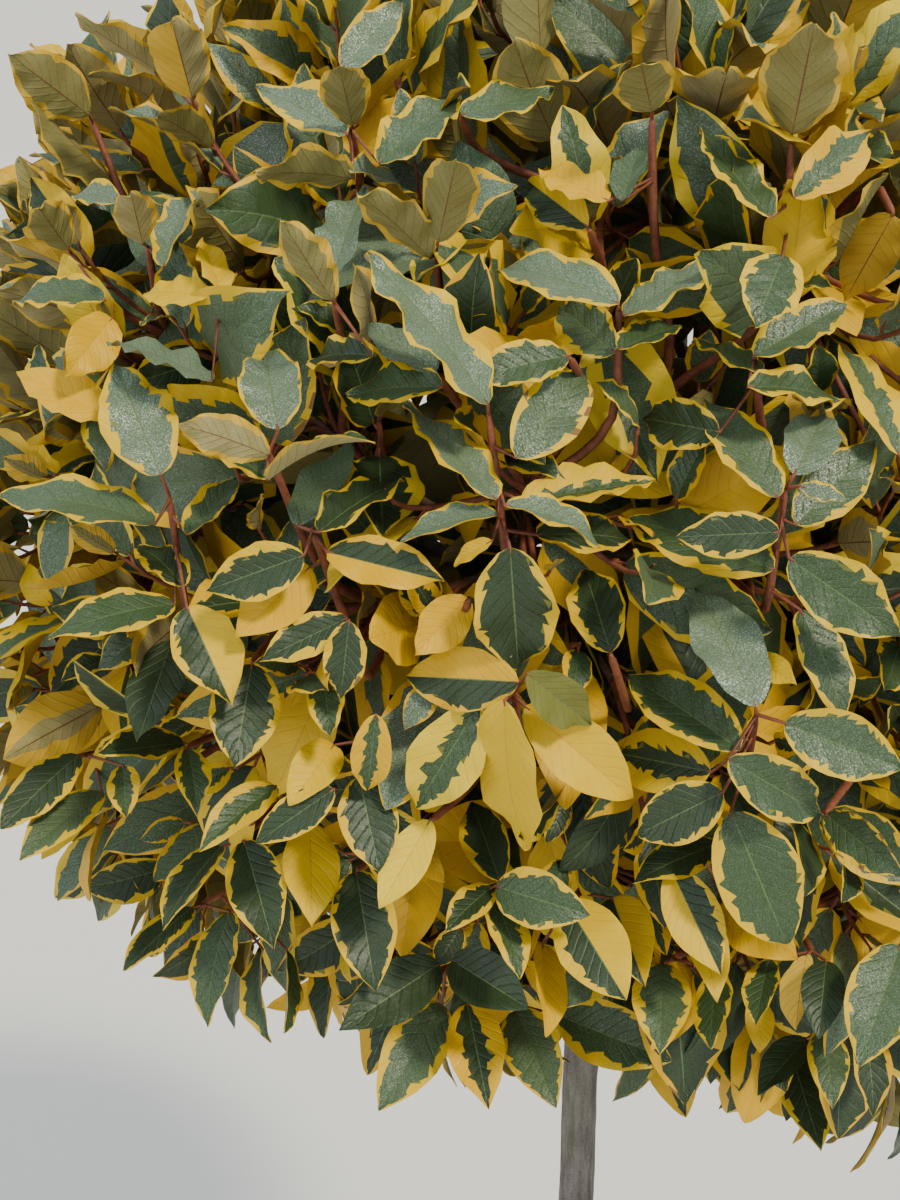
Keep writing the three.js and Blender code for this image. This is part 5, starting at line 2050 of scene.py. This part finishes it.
def floor_coat():
    board = Board("floor")
    return board.finish(Base_Color=colour(214, 212, 206), Roughness=0.85, Specular_IOR_Level=0.2)


def add_light(name, kind, place, target, power, **settings):
    light = bpy.data.lights.new(name, kind)
    light.energy = power
    for key, value in settings.items():
        setattr(light, key, value)
    lamp = bpy.data.objects.new(name, light)
    lamp.location = place
    lamp.rotation_euler = (Vector(target) - Vector(place)).to_track_quat("-Z", "Y").to_euler()
    bpy.context.scene.collection.objects.link(lamp)


SUN_PLACE = (1.5, -1.7, 3.7)
SUN_POWER = 3.2
SUN_WIDTH = math.radians(8)
SUN_COLOUR = (1.0, 0.92, 0.72)
FILL_PLACE = (-2.6, -2.4, 2.2)
FILL_POWER = 20
FILL_SIZE = 2.6
FILL_COLOUR = (0.92, 0.96, 1.0)
SKY_POWER = 1.2
SKY_COLOUR = (0.83, 0.91, 1.0)


def make_lights():
    head = tuple(HEAD_CENTRE)
    add_light("key", "SUN", SUN_PLACE, head, SUN_POWER, angle=SUN_WIDTH, color=SUN_COLOUR)
    add_light("fill", "AREA", FILL_PLACE, head, FILL_POWER, size=FILL_SIZE, color=FILL_COLOUR)
    world = bpy.data.worlds.new("studio")
    world.use_nodes = True
    background = world.node_tree.nodes["Background"]
    background.inputs["Color"].default_value = (*SKY_COLOUR, 1)
    background.inputs["Strength"].default_value = SKY_POWER
    bpy.context.scene.world = world


def make_camera():
    camera = bpy.data.cameras.new("camera")
    camera.lens = CAMERA_LENS
    camera.clip_start = 0.02
    viewer = bpy.data.objects.new("camera", camera)
    viewer.location = CAMERA_PLACE
    viewer.rotation_euler = (math.radians(90 - CAMERA_PITCH), 0, math.radians(CAMERA_YAW))
    bpy.context.scene.collection.objects.link(viewer)
    bpy.context.scene.camera = viewer


# The whole scene

TWIG_COAT = twig_coat("twig_bark", colour(74, 56, 44), colour(120, 96, 76), 0.7)
SHOOT_COAT = twig_coat("shoot_bark", colour(92, 44, 34), colour(150, 88, 58), 0.5)
BARK_COAT = bark_coat()
POT_COAT = pot_coat()
COMPOST_COAT = compost_coat("compost_crumb", colour(28, 22, 17), colour(64, 51, 40))
CHIP_COAT = compost_coat("chip_bark", colour(52, 40, 31), colour(108, 86, 66))
FLOOR_COAT = floor_coat()

make_camera()
make_stage()
make_lights()
make_pot()
make_chips(make_compost())
make_bark()
laterals = grow_laterals()
shoots = plan_shoots(laterals)
young_leaves = list_leaves(shoots, YOUNG)
fit_outline(young_leaves, shoots)
leading_leaves, leading_paths = list_leading(laterals)
shoots, young_leaves = drop_hiding_shoots(shoots, young_leaves, leading_leaves)
old_leaves = list_leaves(laterals, OLD)
place_leaves(old_leaves, laterals["paths"])
old_leaves["stem"] += len(shoots["paths"])
leading_leaves["stem"] += len(shoots["paths"]) + len(laterals["paths"])
leaves = part_leaves(join_rows([young_leaves, old_leaves]), leading_leaves,
                     [*shoots["paths"], *laterals["paths"], *leading_paths])
leaves = join_rows([leading_leaves, pattern_leaves(leaves)])
make_twigs(shoots, laterals, leading_paths)
make_stalks(leaves)
make_leaves(leaves)
